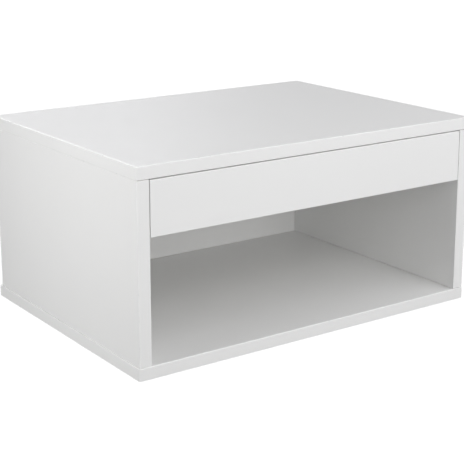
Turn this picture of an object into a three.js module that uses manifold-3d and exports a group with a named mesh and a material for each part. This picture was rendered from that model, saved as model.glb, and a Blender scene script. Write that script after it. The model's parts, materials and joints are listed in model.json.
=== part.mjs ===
// Floating nightstand: an open shelf below one inset drawer on roller slides, hung on two keyhole plates.
// Millimetres, +X right, +Y towards the wall, +Z up, origin under the middle of the base.
import * as THREE from "three";
import Module from "manifold-3d";
import { RoundedBoxGeometry } from "three/addons/geometries/RoundedBoxGeometry.js";
import { mergeVertices } from "three/addons/utils/BufferGeometryUtils.js";

const wasm = await Module();
wasm.setup();

// Overall size
const width = 480;
const depth = 348;
const height = 236;

// Cabinet boards
const boardThickness = 15;
const edgeRound = 1; // rounding of every banded edge
const sideInset = 1; // the top and bottom boards run past the side boards at each end
const rearSetback = 5; // the side boards and the back stop short of the wall
const seam = 0.1; // hairline joint between two boards, or between a board and its fitting
const blindSkin = 4; // wood left past the end of a blind hole

// Drawer
const drawerFrontHeight = 62;
const frontGap = 1; // open joint round the drawer front
const drawerBoardThickness = 12;
const drawerHeadroom = 13; // from the drawer sides up to the top board
const drawerRearRoom = 13; // from the drawer box back to the cabinet's back
const drawerBottomThickness = 3;
const drawerBottomRise = 8; // from the drawer sides' lower edge up to the bottom board
const grooveDepth = 5;

// Roller slides
const slideSpace = 12.5; // room for a slide between the cabinet side and the drawer side
const slideRise = 4; // from the drawer front's lower edge up to the cabinet rail
const slideFrontRoom = 2; // from the back of the drawer front to the cabinet rail
const slideRearRoom = 11; // from the cabinet rail to the cabinet's back
const railThickness = 1.2;
const railClearance = 1; // between parts of the two rails that pass each other
const drawerLipWidth = 10; // how far the drawer rail reaches under the drawer side
const travelShare = 0.75; // travel as a share of the rail's length
const stopDepth = 3; // how far the front stop hangs down into the cabinet rail
const lipGap = 3; // from the front roller to where the cabinet rail's upper lip starts

// Rollers and their axles
const rollerDiameter = 16;
const rollerWidth = 5;
const rollerEdgeRound = 0.8;
const rollerInset = 10; // from the cabinet rail's front end to the front roller's middle
const runningClearance = 0.3;
const axleDiameter = 5;
const axleCollarDiameter = 8;
const axleHeadThickness = 0.8;
const axleHeadClearance = 0.5; // from an axle's head to the drawer rail that passes it

// Cam locks and their bolts
const cornerInset = 50; // from a board's front and rear edge to its fasteners
const camDiameter = 15;
const camSkin = 2; // wood left behind a cam
const camBackset = 24; // from the board's edge to the middle of the cam
const camFaceRecess = 0.2;
const camBoltDiameter = 6;
const camBoltShankDiameter = 5;
const camBoltNeckDiameter = 3.5;
const camBoltNeckLength = 3;
const camBoltHeadLength = 3;
const camBoltOverreach = 2; // how far the bolt's head passes the middle of the cam
const camSlotLength = 8;
const camSlotWidth = 1.6;
const camSlotDepth = 1.4;

// Screws that come up through the bottom board
const baseScrewLength = 50;
const baseScrewHeadDiameter = 10;
const baseScrewHeadRim = 0.8;
const baseScrewHeadDepth = 4;
const baseScrewShankDiameter = 7;
const baseScrewThreadDiameter = 6;
const baseScrewTip = 2;
const baseScrewRecess = 0.3;
const backScrewInset = 120; // from the cabinet's end to the screw into the back
const hexSocketDiameter = 4.6;
const hexSocketDepth = 2.5;

// Pan-head wood screws
const panScrewDiameter = 3.5;
const panScrewTip = 2.5;
const panHeadDiameter = 7;
const panHeadHeight = 1.4;
const panHeadRim = 0.6;
const panHeadCrownDiameter = 5;
const crossLength = 3.6;
const crossWidth = 0.9;
const crossDepth = 0.8;
const railScrewInset = 40; // from a rail's end to its screw
const drawerBackScrewBite = 18; // how far a drawer screw goes into the end of the drawer back

// Dowels between the back and the side boards
const dowelDiameter = 8;
const dowelLength = 30;
const dowelChamfer = 1;
const dowelInset = 40; // from the back's upper and lower edge to its dowels

// Keyhole plates
const plateEndRoom = 70; // from the cabinet's end to the plate
const plateDrop = 40; // from the top board down to the middle of the plate
const plateWidth = 40;
const plateHeight = 64;
const plateThickness = 2;
const plateCornerRadius = 4;
const plateScrewSpacing = 50;
const keyholeEntryDiameter = 11;
const keyholeSlotWidth = 5.4;
const keyholeSlotLength = 14;
const keyholePocketDiameter = 14;
const keyholePocketDepth = 8;

// Clearances and cuts
const fitClearance = 0.3; // round a fastener in its hole and a board in its groove
const overrun = 5; // how far a cutting shape passes an open face
const weldDistance = 0.001;

// How finely round shapes are drawn
const roundSteps = 2;
const fastenerSides = 10;
const bossSides = 16;
const rollerSides = 24;
const hexSides = 6;

// Places of the cabinet boards
const frontY = -depth / 2;
const rearY = depth / 2;
const sideOuterX = width / 2 - sideInset;
const sideInnerX = sideOuterX - boardThickness;
const sideMiddleX = (sideInnerX + sideOuterX) / 2;
const sideRearY = rearY - rearSetback;
const backFrontY = sideRearY - boardThickness;
const backMiddleY = (backFrontY + sideRearY) / 2;
const shelfZ = boardThickness;
const ceilingZ = height - boardThickness;
const fastenerYs = { front: frontY + cornerInset, rear: sideRearY - cornerInset };
const blindDepth = boardThickness - blindSkin;

// Places of the slides, where u counts from the cabinet side's inner face towards the drawer
const drawerFrontZ = ceilingZ - frontGap - drawerFrontHeight;
const rollerRadius = rollerDiameter / 2;
const channelFrontY = frontY + boardThickness + slideFrontRoom;
const channelRearY = backFrontY - slideRearRoom;
const railLength = channelRearY - channelFrontY;
const channelZ = drawerFrontZ + slideRise;
const channelFloorZ = channelZ + railThickness;
const drawerRollerZ = channelFloorZ + runningClearance + rollerRadius;
const channelRoofZ = drawerRollerZ + rollerRadius + runningClearance;
const channelTopZ = channelRoofZ + railThickness;
const flangeZ = channelTopZ + railClearance;
const flangeTopZ = flangeZ + railThickness;
const cabinetRollerZ = flangeZ - runningClearance - rollerRadius;
const cabinetRollerY = channelFrontY + rollerInset;
const drawerRollerY = channelRearY - railThickness - runningClearance - rollerRadius;
const cabinetWebU = seam + railThickness;
const drawerWebU = slideSpace - seam - railThickness;
const channelReachU = drawerWebU - railClearance;
const flangeEdgeU = cabinetWebU + railClearance;
const axleHeadRoom = axleHeadClearance + axleHeadThickness + runningClearance;
const rollerMiddleU = drawerWebU - axleHeadRoom - rollerWidth / 2;
const rollerSpan = rollerWidth + runningClearance + runningClearance;
const travel = railLength * travelShare;

// Places of the drawer box
const drawerOuterX = sideInnerX - slideSpace;
const drawerInnerX = drawerOuterX - drawerBoardThickness;
const drawerMiddleX = (drawerInnerX + drawerOuterX) / 2;
const drawerFrontRearY = frontY + boardThickness;
const drawerBoxFrontY = drawerFrontRearY + seam;
const drawerBoxRearY = backFrontY - drawerRearRoom;
const drawerBackFrontY = drawerBoxRearY - drawerBoardThickness;
const drawerSideZ = channelFloorZ + railThickness + seam;
const drawerTopZ = ceilingZ - drawerHeadroom;
const drawerBottomZ = drawerSideZ + drawerBottomRise;
const drawerFloorZ = drawerBottomZ + drawerBottomThickness;
const drawerCamZ = (flangeTopZ + drawerTopZ) / 2;

// Finishes
const finishes = {
  whiteLaminate: { color: 0xf1f1f0, roughness: 0.42, metalness: 0 },
  drawerBoard: { color: 0xeeeeec, roughness: 0.5, metalness: 0 },
  thinBoard: { color: 0xe9e8e3, roughness: 0.6, metalness: 0 },
  beech: { color: 0xcfa878, roughness: 0.7, metalness: 0 },
  railEnamel: { color: 0xf0efeb, roughness: 0.35, metalness: 0.1 },
  zincPlate: { color: 0xb9bcc0, roughness: 0.35, metalness: 1 },
  castZinc: { color: 0x9a9ca0, roughness: 0.5, metalness: 1 },
  nylon: { color: 0xe4e2da, roughness: 0.4, metalness: 0 },
};

const sides = [
  { name: "left", sign: -1 },
  { name: "right", sign: 1 },
];
const forward = new THREE.Vector3(0, -1, 0);
const backward = new THREE.Vector3(0, 1, 0);
const upward = new THREE.Vector3(0, 0, 1);
const downward = new THREE.Vector3(0, 0, -1);
const outward = (side) => new THREE.Vector3(side.sign, 0, 0);
const inward = (side) => new THREE.Vector3(-side.sign, 0, 0);

// Meshes and solids
function piece(name, geometry, finish) {
  const mesh = new THREE.Mesh(geometry, new THREE.MeshStandardMaterial(finish));
  mesh.name = name;
  return mesh;
}

function solidOf(geometry) {
  const bare = geometry.clone();
  bare.deleteAttribute("normal");
  bare.deleteAttribute("uv");
  const merged = mergeVertices(bare, weldDistance);
  const vertProperties = new Float32Array(merged.attributes.position.array);
  const triVerts = new Uint32Array(merged.index.array);
  return new wasm.Manifold(new wasm.Mesh({ numProp: 3, vertProperties, triVerts }));
}

function geometryOf(solid) {
  const mesh = solid.getMesh();
  const geometry = new THREE.BufferGeometry();
  geometry.setAttribute("position", new THREE.BufferAttribute(mesh.vertProperties, 3));
  geometry.setIndex(new THREE.BufferAttribute(mesh.triVerts, 1));
  const faceted = geometry.toNonIndexed();
  faceted.computeVertexNormals();
  return faceted;
}

function cut(geometry, tools) {
  const cutSolid = tools.reduce((solid, tool) => solid.subtract(solidOf(tool)), solidOf(geometry));
  return geometryOf(cutSolid);
}

function joined(geometry, additions) {
  const whole = additions.reduce((solid, part) => solid.add(solidOf(part)), solidOf(geometry));
  return geometryOf(whole);
}

// Cut tools that lie in the cabinet's frame out of a mesh that is already placed there
function bore(mesh, tools) {
  mesh.updateMatrix();
  const placed = mesh.geometry.clone().applyMatrix4(mesh.matrix);
  mesh.geometry = cut(placed, tools).applyMatrix4(mesh.matrix.clone().invert());
  return mesh;
}

// A box between two corners
function block([x1, y1, z1], [x2, y2, z2]) {
  const box = new THREE.BoxGeometry(Math.abs(x2 - x1), Math.abs(y2 - y1), Math.abs(z2 - z1));
  return box.translate((x1 + x2) / 2, (y1 + y2) / 2, (z1 + z2) / 2);
}

// A turned shape round +Z, from a profile of radius and distance along the axis
function turned(profile, sideCount) {
  const points = profile.map(([radius, along]) => new THREE.Vector2(radius, along));
  return new THREE.LatheGeometry(points, sideCount).rotateX(Math.PI / 2);
}

function straightHole(diameter, start, end, sideCount = fastenerSides) {
  const radius = diameter / 2 + fitClearance;
  const profile = [
    [0, start],
    [radius, start],
    [radius, end],
    [0, end],
  ];
  return turned(profile, sideCount);
}

// Turn and move something so that its +Z points along a direction and its +Y along another
function placement(point, direction, across) {
  const y = across ?? (Math.abs(direction.z) > 0 ? backward : upward);
  const x = new THREE.Vector3().crossVectors(y, direction);
  return new THREE.Matrix4().makeBasis(x, y, direction).setPosition(new THREE.Vector3(...point));
}

function fitted(name, fastener, finish, place) {
  const mesh = piece(name, fastener.shape, finish);
  mesh.applyMatrix4(place);
  return { mesh, hole: fastener.hole.clone().applyMatrix4(place) };
}

// A rectangle with round corners, centred on the origin; each corner has its own radius
function roundedRectangle(sizeX, sizeY, lowRadius, highRadius) {
  const x = sizeX / 2;
  const y = sizeY / 2;
  const shape = new THREE.Shape();
  shape.moveTo(-x, lowRadius - y);
  shape.absarc(lowRadius - x, lowRadius - y, lowRadius, Math.PI, Math.PI * 1.5);
  shape.absarc(x - lowRadius, lowRadius - y, lowRadius, Math.PI * 1.5, Math.PI * 2);
  if (highRadius > 0) {
    shape.absarc(x - highRadius, y - highRadius, highRadius, 0, Math.PI / 2);
    shape.absarc(highRadius - x, y - highRadius, highRadius, Math.PI / 2, Math.PI);
  } else {
    shape.lineTo(x, y);
    shape.lineTo(-x, y);
  }
  shape.closePath();
  return shape;
}

function extruded(shape, length, curveSegments = roundSteps) {
  return new THREE.ExtrudeGeometry(shape, { depth: length, bevelEnabled: false, curveSegments });
}

// Shapes of the fasteners: the origin lies where each enters the wood and +Z is the way it is driven
function baseScrewProfile(slack, opening) {
  const head = baseScrewHeadDiameter / 2 + slack;
  const shank = baseScrewShankDiameter / 2 + slack;
  const thread = baseScrewThreadDiameter / 2 + slack;
  return [
    [0, -opening],
    [head, -opening],
    [head, baseScrewHeadRim],
    [shank, baseScrewHeadDepth],
    [shank, boardThickness],
    [thread, boardThickness],
    [thread, baseScrewLength - baseScrewTip + slack],
    [0, baseScrewLength + slack],
  ];
}

function baseScrew() {
  const socketRadius = hexSocketDiameter / 2;
  const socket = new THREE.CylinderGeometry(socketRadius, socketRadius, hexSocketDepth * 2, hexSides);
  return {
    shape: cut(turned(baseScrewProfile(0, 0), fastenerSides), [socket.rotateX(Math.PI / 2)]),
    hole: turned(baseScrewProfile(fitClearance, overrun), fastenerSides),
  };
}

function crossSlots(length, slotWidth, slotDepth, faceZ) {
  const low = faceZ - slotDepth;
  const high = faceZ + slotDepth;
  return [
    block([-length / 2, -slotWidth / 2, low], [length / 2, slotWidth / 2, high]),
    block([-slotWidth / 2, -length / 2, low], [slotWidth / 2, length / 2, high]),
  ];
}

function panScrew(length) {
  const profile = [
    [0, -panHeadHeight],
    [panHeadCrownDiameter / 2, -panHeadHeight],
    [panHeadDiameter / 2, -panHeadRim],
    [panHeadDiameter / 2, 0],
    [panScrewDiameter / 2, 0],
    [panScrewDiameter / 2, length - panScrewTip],
    [0, length],
  ];
  const cross = crossSlots(crossLength, crossWidth, crossDepth, -panHeadHeight);
  return {
    shape: cut(turned(profile, fastenerSides), cross),
    hole: straightHole(panScrewDiameter, -panHeadHeight, length + fitClearance),
  };
}

function camBolt() {
  const radius = camBoltDiameter / 2;
  const shankRadius = camBoltShankDiameter / 2;
  const neckRadius = camBoltNeckDiameter / 2;
  const end = camBackset + camBoltOverreach;
  const headStart = end - camBoltHeadLength;
  const neckStart = headStart - camBoltNeckLength;
  const profile = [
    [0, -blindDepth],
    [radius, -blindDepth],
    [radius, 0],
    [shankRadius, 0],
    [shankRadius, neckStart],
    [neckRadius, neckStart],
    [neckRadius, headStart],
    [radius, headStart],
    [radius, end],
    [0, end],
  ];
  return {
    shape: turned(profile, fastenerSides),
    hole: straightHole(camBoltDiameter, -blindDepth - fitClearance, end + fitClearance),
  };
}

// A cam's bolt comes in along its +Y, at half the thickness of the board that holds the cam
function cam(thickness) {
  const length = thickness - camSkin - camFaceRecess - fitClearance;
  const body = new THREE.CylinderGeometry(camDiameter / 2, camDiameter / 2, length, bossSides);
  body.rotateX(Math.PI / 2).translate(0, 0, length / 2);
  const boltRoom = straightHole(camBoltDiameter, -camBoltOverreach - fitClearance, camDiameter);
  boltRoom.rotateX(-Math.PI / 2).translate(0, 0, thickness / 2 - camFaceRecess);
  return {
    shape: cut(body, [boltRoom, ...crossSlots(camSlotLength, camSlotWidth, camSlotDepth, 0)]),
    hole: straightHole(camDiameter, -overrun, length + fitClearance, bossSides),
  };
}

function dowel() {
  const radius = dowelDiameter / 2;
  const end = blindDepth;
  const start = end - dowelLength;
  const profile = [
    [0, start],
    [radius - dowelChamfer, start],
    [radius, start + dowelChamfer],
    [radius, end - dowelChamfer],
    [radius - dowelChamfer, end],
    [0, end],
  ];
  return {
    shape: turned(profile, fastenerSides),
    hole: straightHole(dowelDiameter, start - fitClearance, end + fitClearance),
  };
}

// An axle runs from its head, through the roller, to a collar that seats on the rail's web
function axle(webDistance) {
  const radius = axleDiameter / 2;
  const collarRadius = axleCollarDiameter / 2;
  const collarEnd = webDistance - seam;
  const end = webDistance + railThickness;
  const profile = [
    [0, -axleHeadThickness],
    [collarRadius, -axleHeadThickness],
    [collarRadius, 0],
    [radius, 0],
    [radius, rollerSpan],
    [collarRadius, rollerSpan],
    [collarRadius, collarEnd],
    [radius, collarEnd],
    [radius, end],
    [0, end],
  ];
  return {
    shape: turned(profile, fastenerSides),
    hole: straightHole(axleDiameter, collarEnd - overrun, end + overrun),
  };
}

function roller() {
  const boreRadius = axleDiameter / 2 + runningClearance;
  const half = rollerWidth / 2;
  const profile = [
    [boreRadius, -half],
    [rollerRadius - rollerEdgeRound, -half],
    [rollerRadius, rollerEdgeRound - half],
    [rollerRadius, half - rollerEdgeRound],
    [rollerRadius - rollerEdgeRound, half],
    [boreRadius, half],
    [boreRadius, -half],
  ];
  return turned(profile, rollerSides);
}

// Fasteners of the cabinet
function cabinetCams(side) {
  const sideTopZ = ceilingZ - seam;
  return Object.entries(fastenerYs).flatMap(([end, y]) => {
    const camPoint = [side.sign * (sideInnerX + camFaceRecess), y, sideTopZ - camBackset];
    const camPlace = placement(camPoint, outward(side), upward);
    const boltPlace = placement([side.sign * sideMiddleX, y, sideTopZ], downward);
    return [
      fitted(`${side.name}_${end}_cam`, cam(boardThickness), finishes.castZinc, camPlace),
      fitted(`${side.name}_${end}_cam_bolt`, camBolt(), finishes.zincPlate, boltPlace),
    ];
  });
}

function baseScrews(side) {
  const places = {
    [`${side.name}_front_base_screw`]: [side.sign * sideMiddleX, fastenerYs.front],
    [`${side.name}_rear_base_screw`]: [side.sign * sideMiddleX, fastenerYs.rear],
    [`${side.name}_back_base_screw`]: [side.sign * (width / 2 - backScrewInset), backMiddleY],
  };
  return Object.entries(places).map(([name, [x, y]]) =>
    fitted(name, baseScrew(), finishes.zincPlate, placement([x, y, baseScrewRecess], upward)),
  );
}

function backDowels(side) {
  const levels = { lower: shelfZ + dowelInset, upper: ceilingZ - dowelInset };
  return Object.entries(levels).map(([level, z]) => {
    const place = placement([side.sign * sideInnerX, backMiddleY, z], outward(side));
    return fitted(`${side.name}_${level}_dowel`, dowel(), finishes.beech, place);
  });
}

// Keyhole plates
const plateZ = ceilingZ - plateDrop;
const plateX = (side) => side.sign * (width / 2 - plateEndRoom - plateWidth / 2);
const plateFaceY = sideRearY + seam + plateThickness;
const keyholeEntryZ = -keyholeSlotLength / 2;
const keyholeSlotZ = keyholeSlotLength / 2;

function keyhole() {
  const entryRadius = keyholeEntryDiameter / 2;
  const slotRadius = keyholeSlotWidth / 2;
  const meeting = Math.acos(slotRadius / entryRadius);
  const path = new THREE.Path();
  path.moveTo(slotRadius, keyholeSlotZ);
  path.absarc(0, keyholeSlotZ, slotRadius, 0, Math.PI);
  path.absarc(0, keyholeEntryZ, entryRadius, Math.PI - meeting, Math.PI * 2 + meeting);
  path.closePath();
  return path;
}

function keyholePlateScrews(side) {
  const levels = { lower: plateZ - plateScrewSpacing / 2, upper: plateZ + plateScrewSpacing / 2 };
  const length = seam + plateThickness + seam + blindDepth;
  return Object.entries(levels).map(([level, z]) => {
    const place = placement([plateX(side), plateFaceY + seam, z], forward);
    return fitted(`${side.name}_hanger_${level}_screw`, panScrew(length), finishes.zincPlate, place);
  });
}

function keyholePlate(side, screws) {
  const shape = roundedRectangle(plateWidth, plateHeight, plateCornerRadius, plateCornerRadius);
  shape.holes.push(keyhole());
  const geometry = extruded(shape, plateThickness, bossSides / 4);
  const plate = piece(`${side.name}_hanger_plate`, geometry, finishes.zincPlate);
  plate.rotation.x = Math.PI / 2;
  plate.position.set(plateX(side), plateFaceY, plateZ);
  return bore(plate, screws.map((screw) => screw.hole));
}

// Room in the back for the head of the wall screw that sits in a keyhole
function keyholePocket(side) {
  const pocket = roundedRectangle(
    keyholePocketDiameter,
    keyholeSlotLength + keyholePocketDiameter,
    keyholePocketDiameter / 2,
    keyholePocketDiameter / 2,
  );
  const geometry = extruded(pocket, keyholePocketDepth + overrun, bossSides / 4).rotateX(Math.PI / 2);
  return geometry.translate(plateX(side), sideRearY + overrun, plateZ);
}

// Slides
const slideX = (side, u) => side.sign * (sideInnerX - u);

// An outline of u and z, drawn for one side and run along the depth
function railBar(side, outline, startY, endY) {
  const points = outline.map(([u, z]) => new THREE.Vector2(slideX(side, u), z));
  return extruded(new THREE.Shape(points), endY - startY).rotateX(Math.PI / 2).translate(0, endY, 0);
}

function slideBlock(side, [u1, y1, z1], [u2, y2, z2]) {
  return block([slideX(side, u1), y1, z1], [slideX(side, u2), y2, z2]);
}

function cabinetRailScrews(side) {
  const ends = { front: channelFrontY + railScrewInset, rear: channelRearY - railScrewInset };
  const length = seam + railThickness + seam + blindDepth;
  return Object.entries(ends).map(([end, y]) => {
    const place = placement([slideX(side, cabinetWebU + seam), y, drawerRollerZ], outward(side));
    return fitted(`${side.name}_cabinet_rail_${end}_screw`, panScrew(length), finishes.zincPlate, place);
  });
}

function cabinetAxle(side) {
  const headU = rollerMiddleU + rollerSpan / 2;
  const place = placement([slideX(side, headU), cabinetRollerY, cabinetRollerZ], outward(side));
  return fitted(`${side.name}_cabinet_axle`, axle(headU - cabinetWebU), finishes.zincPlate, place);
}

// A channel with its open side to the drawer, a bent stop at its rear end and a tongue that ends the travel
function cabinetRail(side, fittings) {
  const outline = [
    [seam, channelZ],
    [channelReachU, channelZ],
    [channelReachU, channelFloorZ],
    [cabinetWebU, channelFloorZ],
    [cabinetWebU, channelRoofZ],
    [channelReachU, channelRoofZ],
    [channelReachU, channelTopZ],
    [seam, channelTopZ],
  ];
  const channel = railBar(side, outline, channelFrontY, channelRearY);
  const endStopY = channelRearY - railThickness;
  const endStop = slideBlock(side, [seam, endStopY, channelZ], [channelReachU, channelRearY, channelTopZ]);
  const stopHeight = rollerRadius + runningClearance - stopDepth;
  const stopReach = Math.sqrt(rollerRadius ** 2 - stopHeight ** 2) + runningClearance;
  const stopY = drawerRollerY - travel - stopReach;
  const stopLow = [seam, stopY - railThickness, channelRoofZ - stopDepth];
  const stop = slideBlock(side, stopLow, [channelReachU, stopY, channelTopZ]);
  const lipStartY = cabinetRollerY + rollerRadius + lipGap;
  const lipRoomLow = [cabinetWebU, channelFrontY - overrun, channelRoofZ - stopDepth];
  const lipRoom = slideBlock(side, lipRoomLow, [slideSpace + overrun, lipStartY, channelTopZ + overrun]);
  const bar = cut(joined(channel, [endStop, stop]), [lipRoom]);
  const rail = piece(`${side.name}_cabinet_rail`, bar, finishes.railEnamel);
  return bore(rail, fittings.map((fitting) => fitting.hole));
}

function drawerRailScrews(side) {
  const ends = { front: drawerBoxFrontY + railScrewInset, rear: drawerBoxRearY - railScrewInset };
  const wallMiddleX = drawerOuterX - (drawerBoardThickness - grooveDepth) / 2;
  const length = seam + railThickness + seam + blindDepth;
  return Object.entries(ends).map(([end, y]) => {
    const place = placement([side.sign * wallMiddleX, y, channelFloorZ - seam], upward);
    return fitted(`${side.name}_drawer_rail_${end}_screw`, panScrew(length), finishes.zincPlate, place);
  });
}

function drawerAxle(side) {
  const headU = rollerMiddleU - rollerSpan / 2;
  const place = placement([slideX(side, headU), drawerRollerY, drawerRollerZ], inward(side));
  return fitted(`${side.name}_drawer_axle`, axle(drawerWebU - headU), finishes.zincPlate, place);
}

// A lip under the drawer side, a web up its outer face and a flange that runs on the cabinet's roller
function drawerRail(side, fittings) {
  const webInnerU = drawerWebU + railThickness;
  const lipEndU = slideSpace + drawerLipWidth;
  const lipTopZ = channelFloorZ + railThickness;
  const outline = [
    [drawerWebU, channelFloorZ],
    [lipEndU, channelFloorZ],
    [lipEndU, lipTopZ],
    [webInnerU, lipTopZ],
    [webInnerU, flangeTopZ],
    [flangeEdgeU, flangeTopZ],
    [flangeEdgeU, flangeZ],
    [drawerWebU, flangeZ],
  ];
  const bar = railBar(side, outline, drawerBoxFrontY, drawerBoxRearY);
  const rail = piece(`${side.name}_drawer_rail`, bar, finishes.railEnamel);
  return bore(rail, fittings.map((fitting) => fitting.hole));
}

function rollerOn(name, side, y, z) {
  const mesh = piece(name, roller(), finishes.nylon);
  mesh.applyMatrix4(placement([slideX(side, rollerMiddleU), y, z], outward(side)));
  return mesh;
}

// Fasteners of the drawer box
function drawerCam(side) {
  const camPoint = [side.sign * (drawerOuterX - camFaceRecess), drawerBoxFrontY + camBackset, drawerCamZ];
  const camPlace = placement(camPoint, inward(side), forward);
  const boltPlace = placement([side.sign * drawerMiddleX, drawerBoxFrontY, drawerCamZ], backward);
  return [
    fitted(`${side.name}_drawer_cam`, cam(drawerBoardThickness), finishes.castZinc, camPlace),
    fitted(`${side.name}_drawer_cam_bolt`, camBolt(), finishes.zincPlate, boltPlace),
  ];
}

function drawerBackScrew(side) {
  const y = (drawerBackFrontY + drawerBoxRearY) / 2;
  const z = (drawerFloorZ + drawerTopZ) / 2;
  const length = seam + drawerBoardThickness + seam + drawerBackScrewBite;
  const place = placement([side.sign * (drawerOuterX + seam), y, z], inward(side));
  return fitted(`${side.name}_drawer_back_screw`, panScrew(length), finishes.zincPlate, place);
}

// Boards of the cabinet
function coverBoard(name, middleZ, holes) {
  const geometry = new RoundedBoxGeometry(width, depth, boardThickness, roundSteps, edgeRound);
  const board = piece(name, geometry, finishes.whiteLaminate);
  board.position.z = middleZ;
  return bore(board, holes);
}

function sideBoard(side, holes) {
  const shape = roundedRectangle(boardThickness, sideRearY - frontY, edgeRound, 0);
  const geometry = extruded(shape, ceilingZ - shelfZ - seam * 2);
  const board = piece(`${side.name}_side_panel`, geometry, finishes.whiteLaminate);
  board.position.set(side.sign * sideMiddleX, (frontY + sideRearY) / 2, shelfZ + seam);
  return bore(board, holes);
}

function backBoard(holes) {
  const halfWidth = sideInnerX - seam;
  const board = block([-halfWidth, backFrontY, shelfZ + seam], [halfWidth, sideRearY, ceilingZ - seam]);
  return bore(piece("back_panel", board, finishes.whiteLaminate), holes);
}

// Boards of the drawer
function drawerFront(holes) {
  const size = [(sideInnerX - frontGap) * 2, boardThickness, drawerFrontHeight];
  const geometry = new RoundedBoxGeometry(...size, roundSteps, edgeRound);
  const board = piece("drawer_front", geometry, finishes.whiteLaminate);
  board.position.set(0, frontY + boardThickness / 2, drawerFrontZ + drawerFrontHeight / 2);
  return bore(board, holes);
}

function drawerSide(side, holes) {
  const low = [side.sign * drawerInnerX, drawerBoxFrontY, drawerSideZ];
  const board = block(low, [side.sign * drawerOuterX, drawerBoxRearY, drawerTopZ]);
  return bore(piece(`${side.name}_drawer_side`, board, finishes.drawerBoard), holes);
}

function drawerBack(holes) {
  const halfWidth = drawerInnerX - seam;
  const low = [-halfWidth, drawerBackFrontY, drawerFloorZ + seam];
  const board = block(low, [halfWidth, drawerBoxRearY, drawerTopZ]);
  return bore(piece("drawer_back", board, finishes.drawerBoard), holes);
}

// The thin bottom slides in from behind, under the drawer back; grown gives the grooves that hold it
function drawerBottomSheet(grown, rearY) {
  const halfWidth = drawerInnerX + grooveDepth - fitClearance + grown;
  const low = [-halfWidth, drawerFrontRearY - grooveDepth + fitClearance - grown, drawerBottomZ - grown];
  return block(low, [halfWidth, rearY, drawerFloorZ + grown]);
}

// Assembly
const cabinet = new THREE.Group();
const drawer = new THREE.Group();
const grooves = drawerBottomSheet(fitClearance, drawerBoxRearY + overrun);
const bottomScrewHoles = [];
const topHoles = [];
const backHoles = [];
const drawerFrontHoles = [grooves];
const drawerBackHoles = [];

for (const side of sides) {
  const cams = cabinetCams(side);
  const screws = baseScrews(side);
  const dowels = backDowels(side);
  const plateScrews = keyholePlateScrews(side);
  const railScrews = cabinetRailScrews(side);
  const frontAxle = cabinetAxle(side);
  const cabinetFasteners = [...cams, ...screws, ...dowels, ...plateScrews, ...railScrews, frontAxle];
  const sideHoles = [...cams, ...screws, ...dowels, ...railScrews].map((fastener) => fastener.hole);
  cabinet.add(sideBoard(side, sideHoles));
  cabinet.add(keyholePlate(side, plateScrews));
  cabinet.add(cabinetRail(side, [...railScrews, frontAxle]));
  cabinet.add(rollerOn(`${side.name}_cabinet_roller`, side, cabinetRollerY, cabinetRollerZ));
  cabinet.add(...cabinetFasteners.map((fastener) => fastener.mesh));
  topHoles.push(...cams.map((fastener) => fastener.hole));
  bottomScrewHoles.push(...screws.map((fastener) => fastener.hole));
  backHoles.push(...[...screws, ...dowels, ...plateScrews].map((fastener) => fastener.hole));
  backHoles.push(keyholePocket(side));

  const frontCam = drawerCam(side);
  const backScrew = drawerBackScrew(side);
  const lipScrews = drawerRailScrews(side);
  const rearAxle = drawerAxle(side);
  const drawerFasteners = [...frontCam, backScrew, ...lipScrews, rearAxle];
  const drawerSideHoles = [...frontCam, backScrew, ...lipScrews].map((fastener) => fastener.hole);
  drawer.add(drawerSide(side, [grooves, ...drawerSideHoles]));
  drawer.add(drawerRail(side, [...lipScrews, rearAxle]));
  drawer.add(rollerOn(`${side.name}_drawer_roller`, side, drawerRollerY, drawerRollerZ));
  drawer.add(...drawerFasteners.map((fastener) => fastener.mesh));
  drawerFrontHoles.push(...frontCam.map((fastener) => fastener.hole));
  drawerBackHoles.push(backScrew.hole);
}

cabinet.add(coverBoard("top_panel", height - boardThickness / 2, topHoles));
cabinet.add(coverBoard("bottom_panel", boardThickness / 2, bottomScrewHoles));
cabinet.add(backBoard(backHoles));
drawer.add(drawerFront(drawerFrontHoles));
drawer.add(drawerBack(drawerBackHoles));
drawer.add(piece("drawer_bottom", drawerBottomSheet(0, drawerBoxRearY), finishes.thinBoard));

const nightstand = new THREE.Group();
nightstand.add(cabinet, drawer);

export default nightstand;
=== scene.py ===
# %% [markdown]
# # A floating nightstand, cell by cell
# The real object is a wall-hung cabinet of white melamine board: a top and a bottom board, two sides, a
# back, and one drawer that runs on roller slides. Its working parts are already packed as a fixed frame.
# This lesson dresses that frame: every piece is modelled at the frame's own place, in metres, and rides on
# its body.

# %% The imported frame
import json
import math

import bmesh
import bpy
from mathutils import Matrix, Vector


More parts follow.
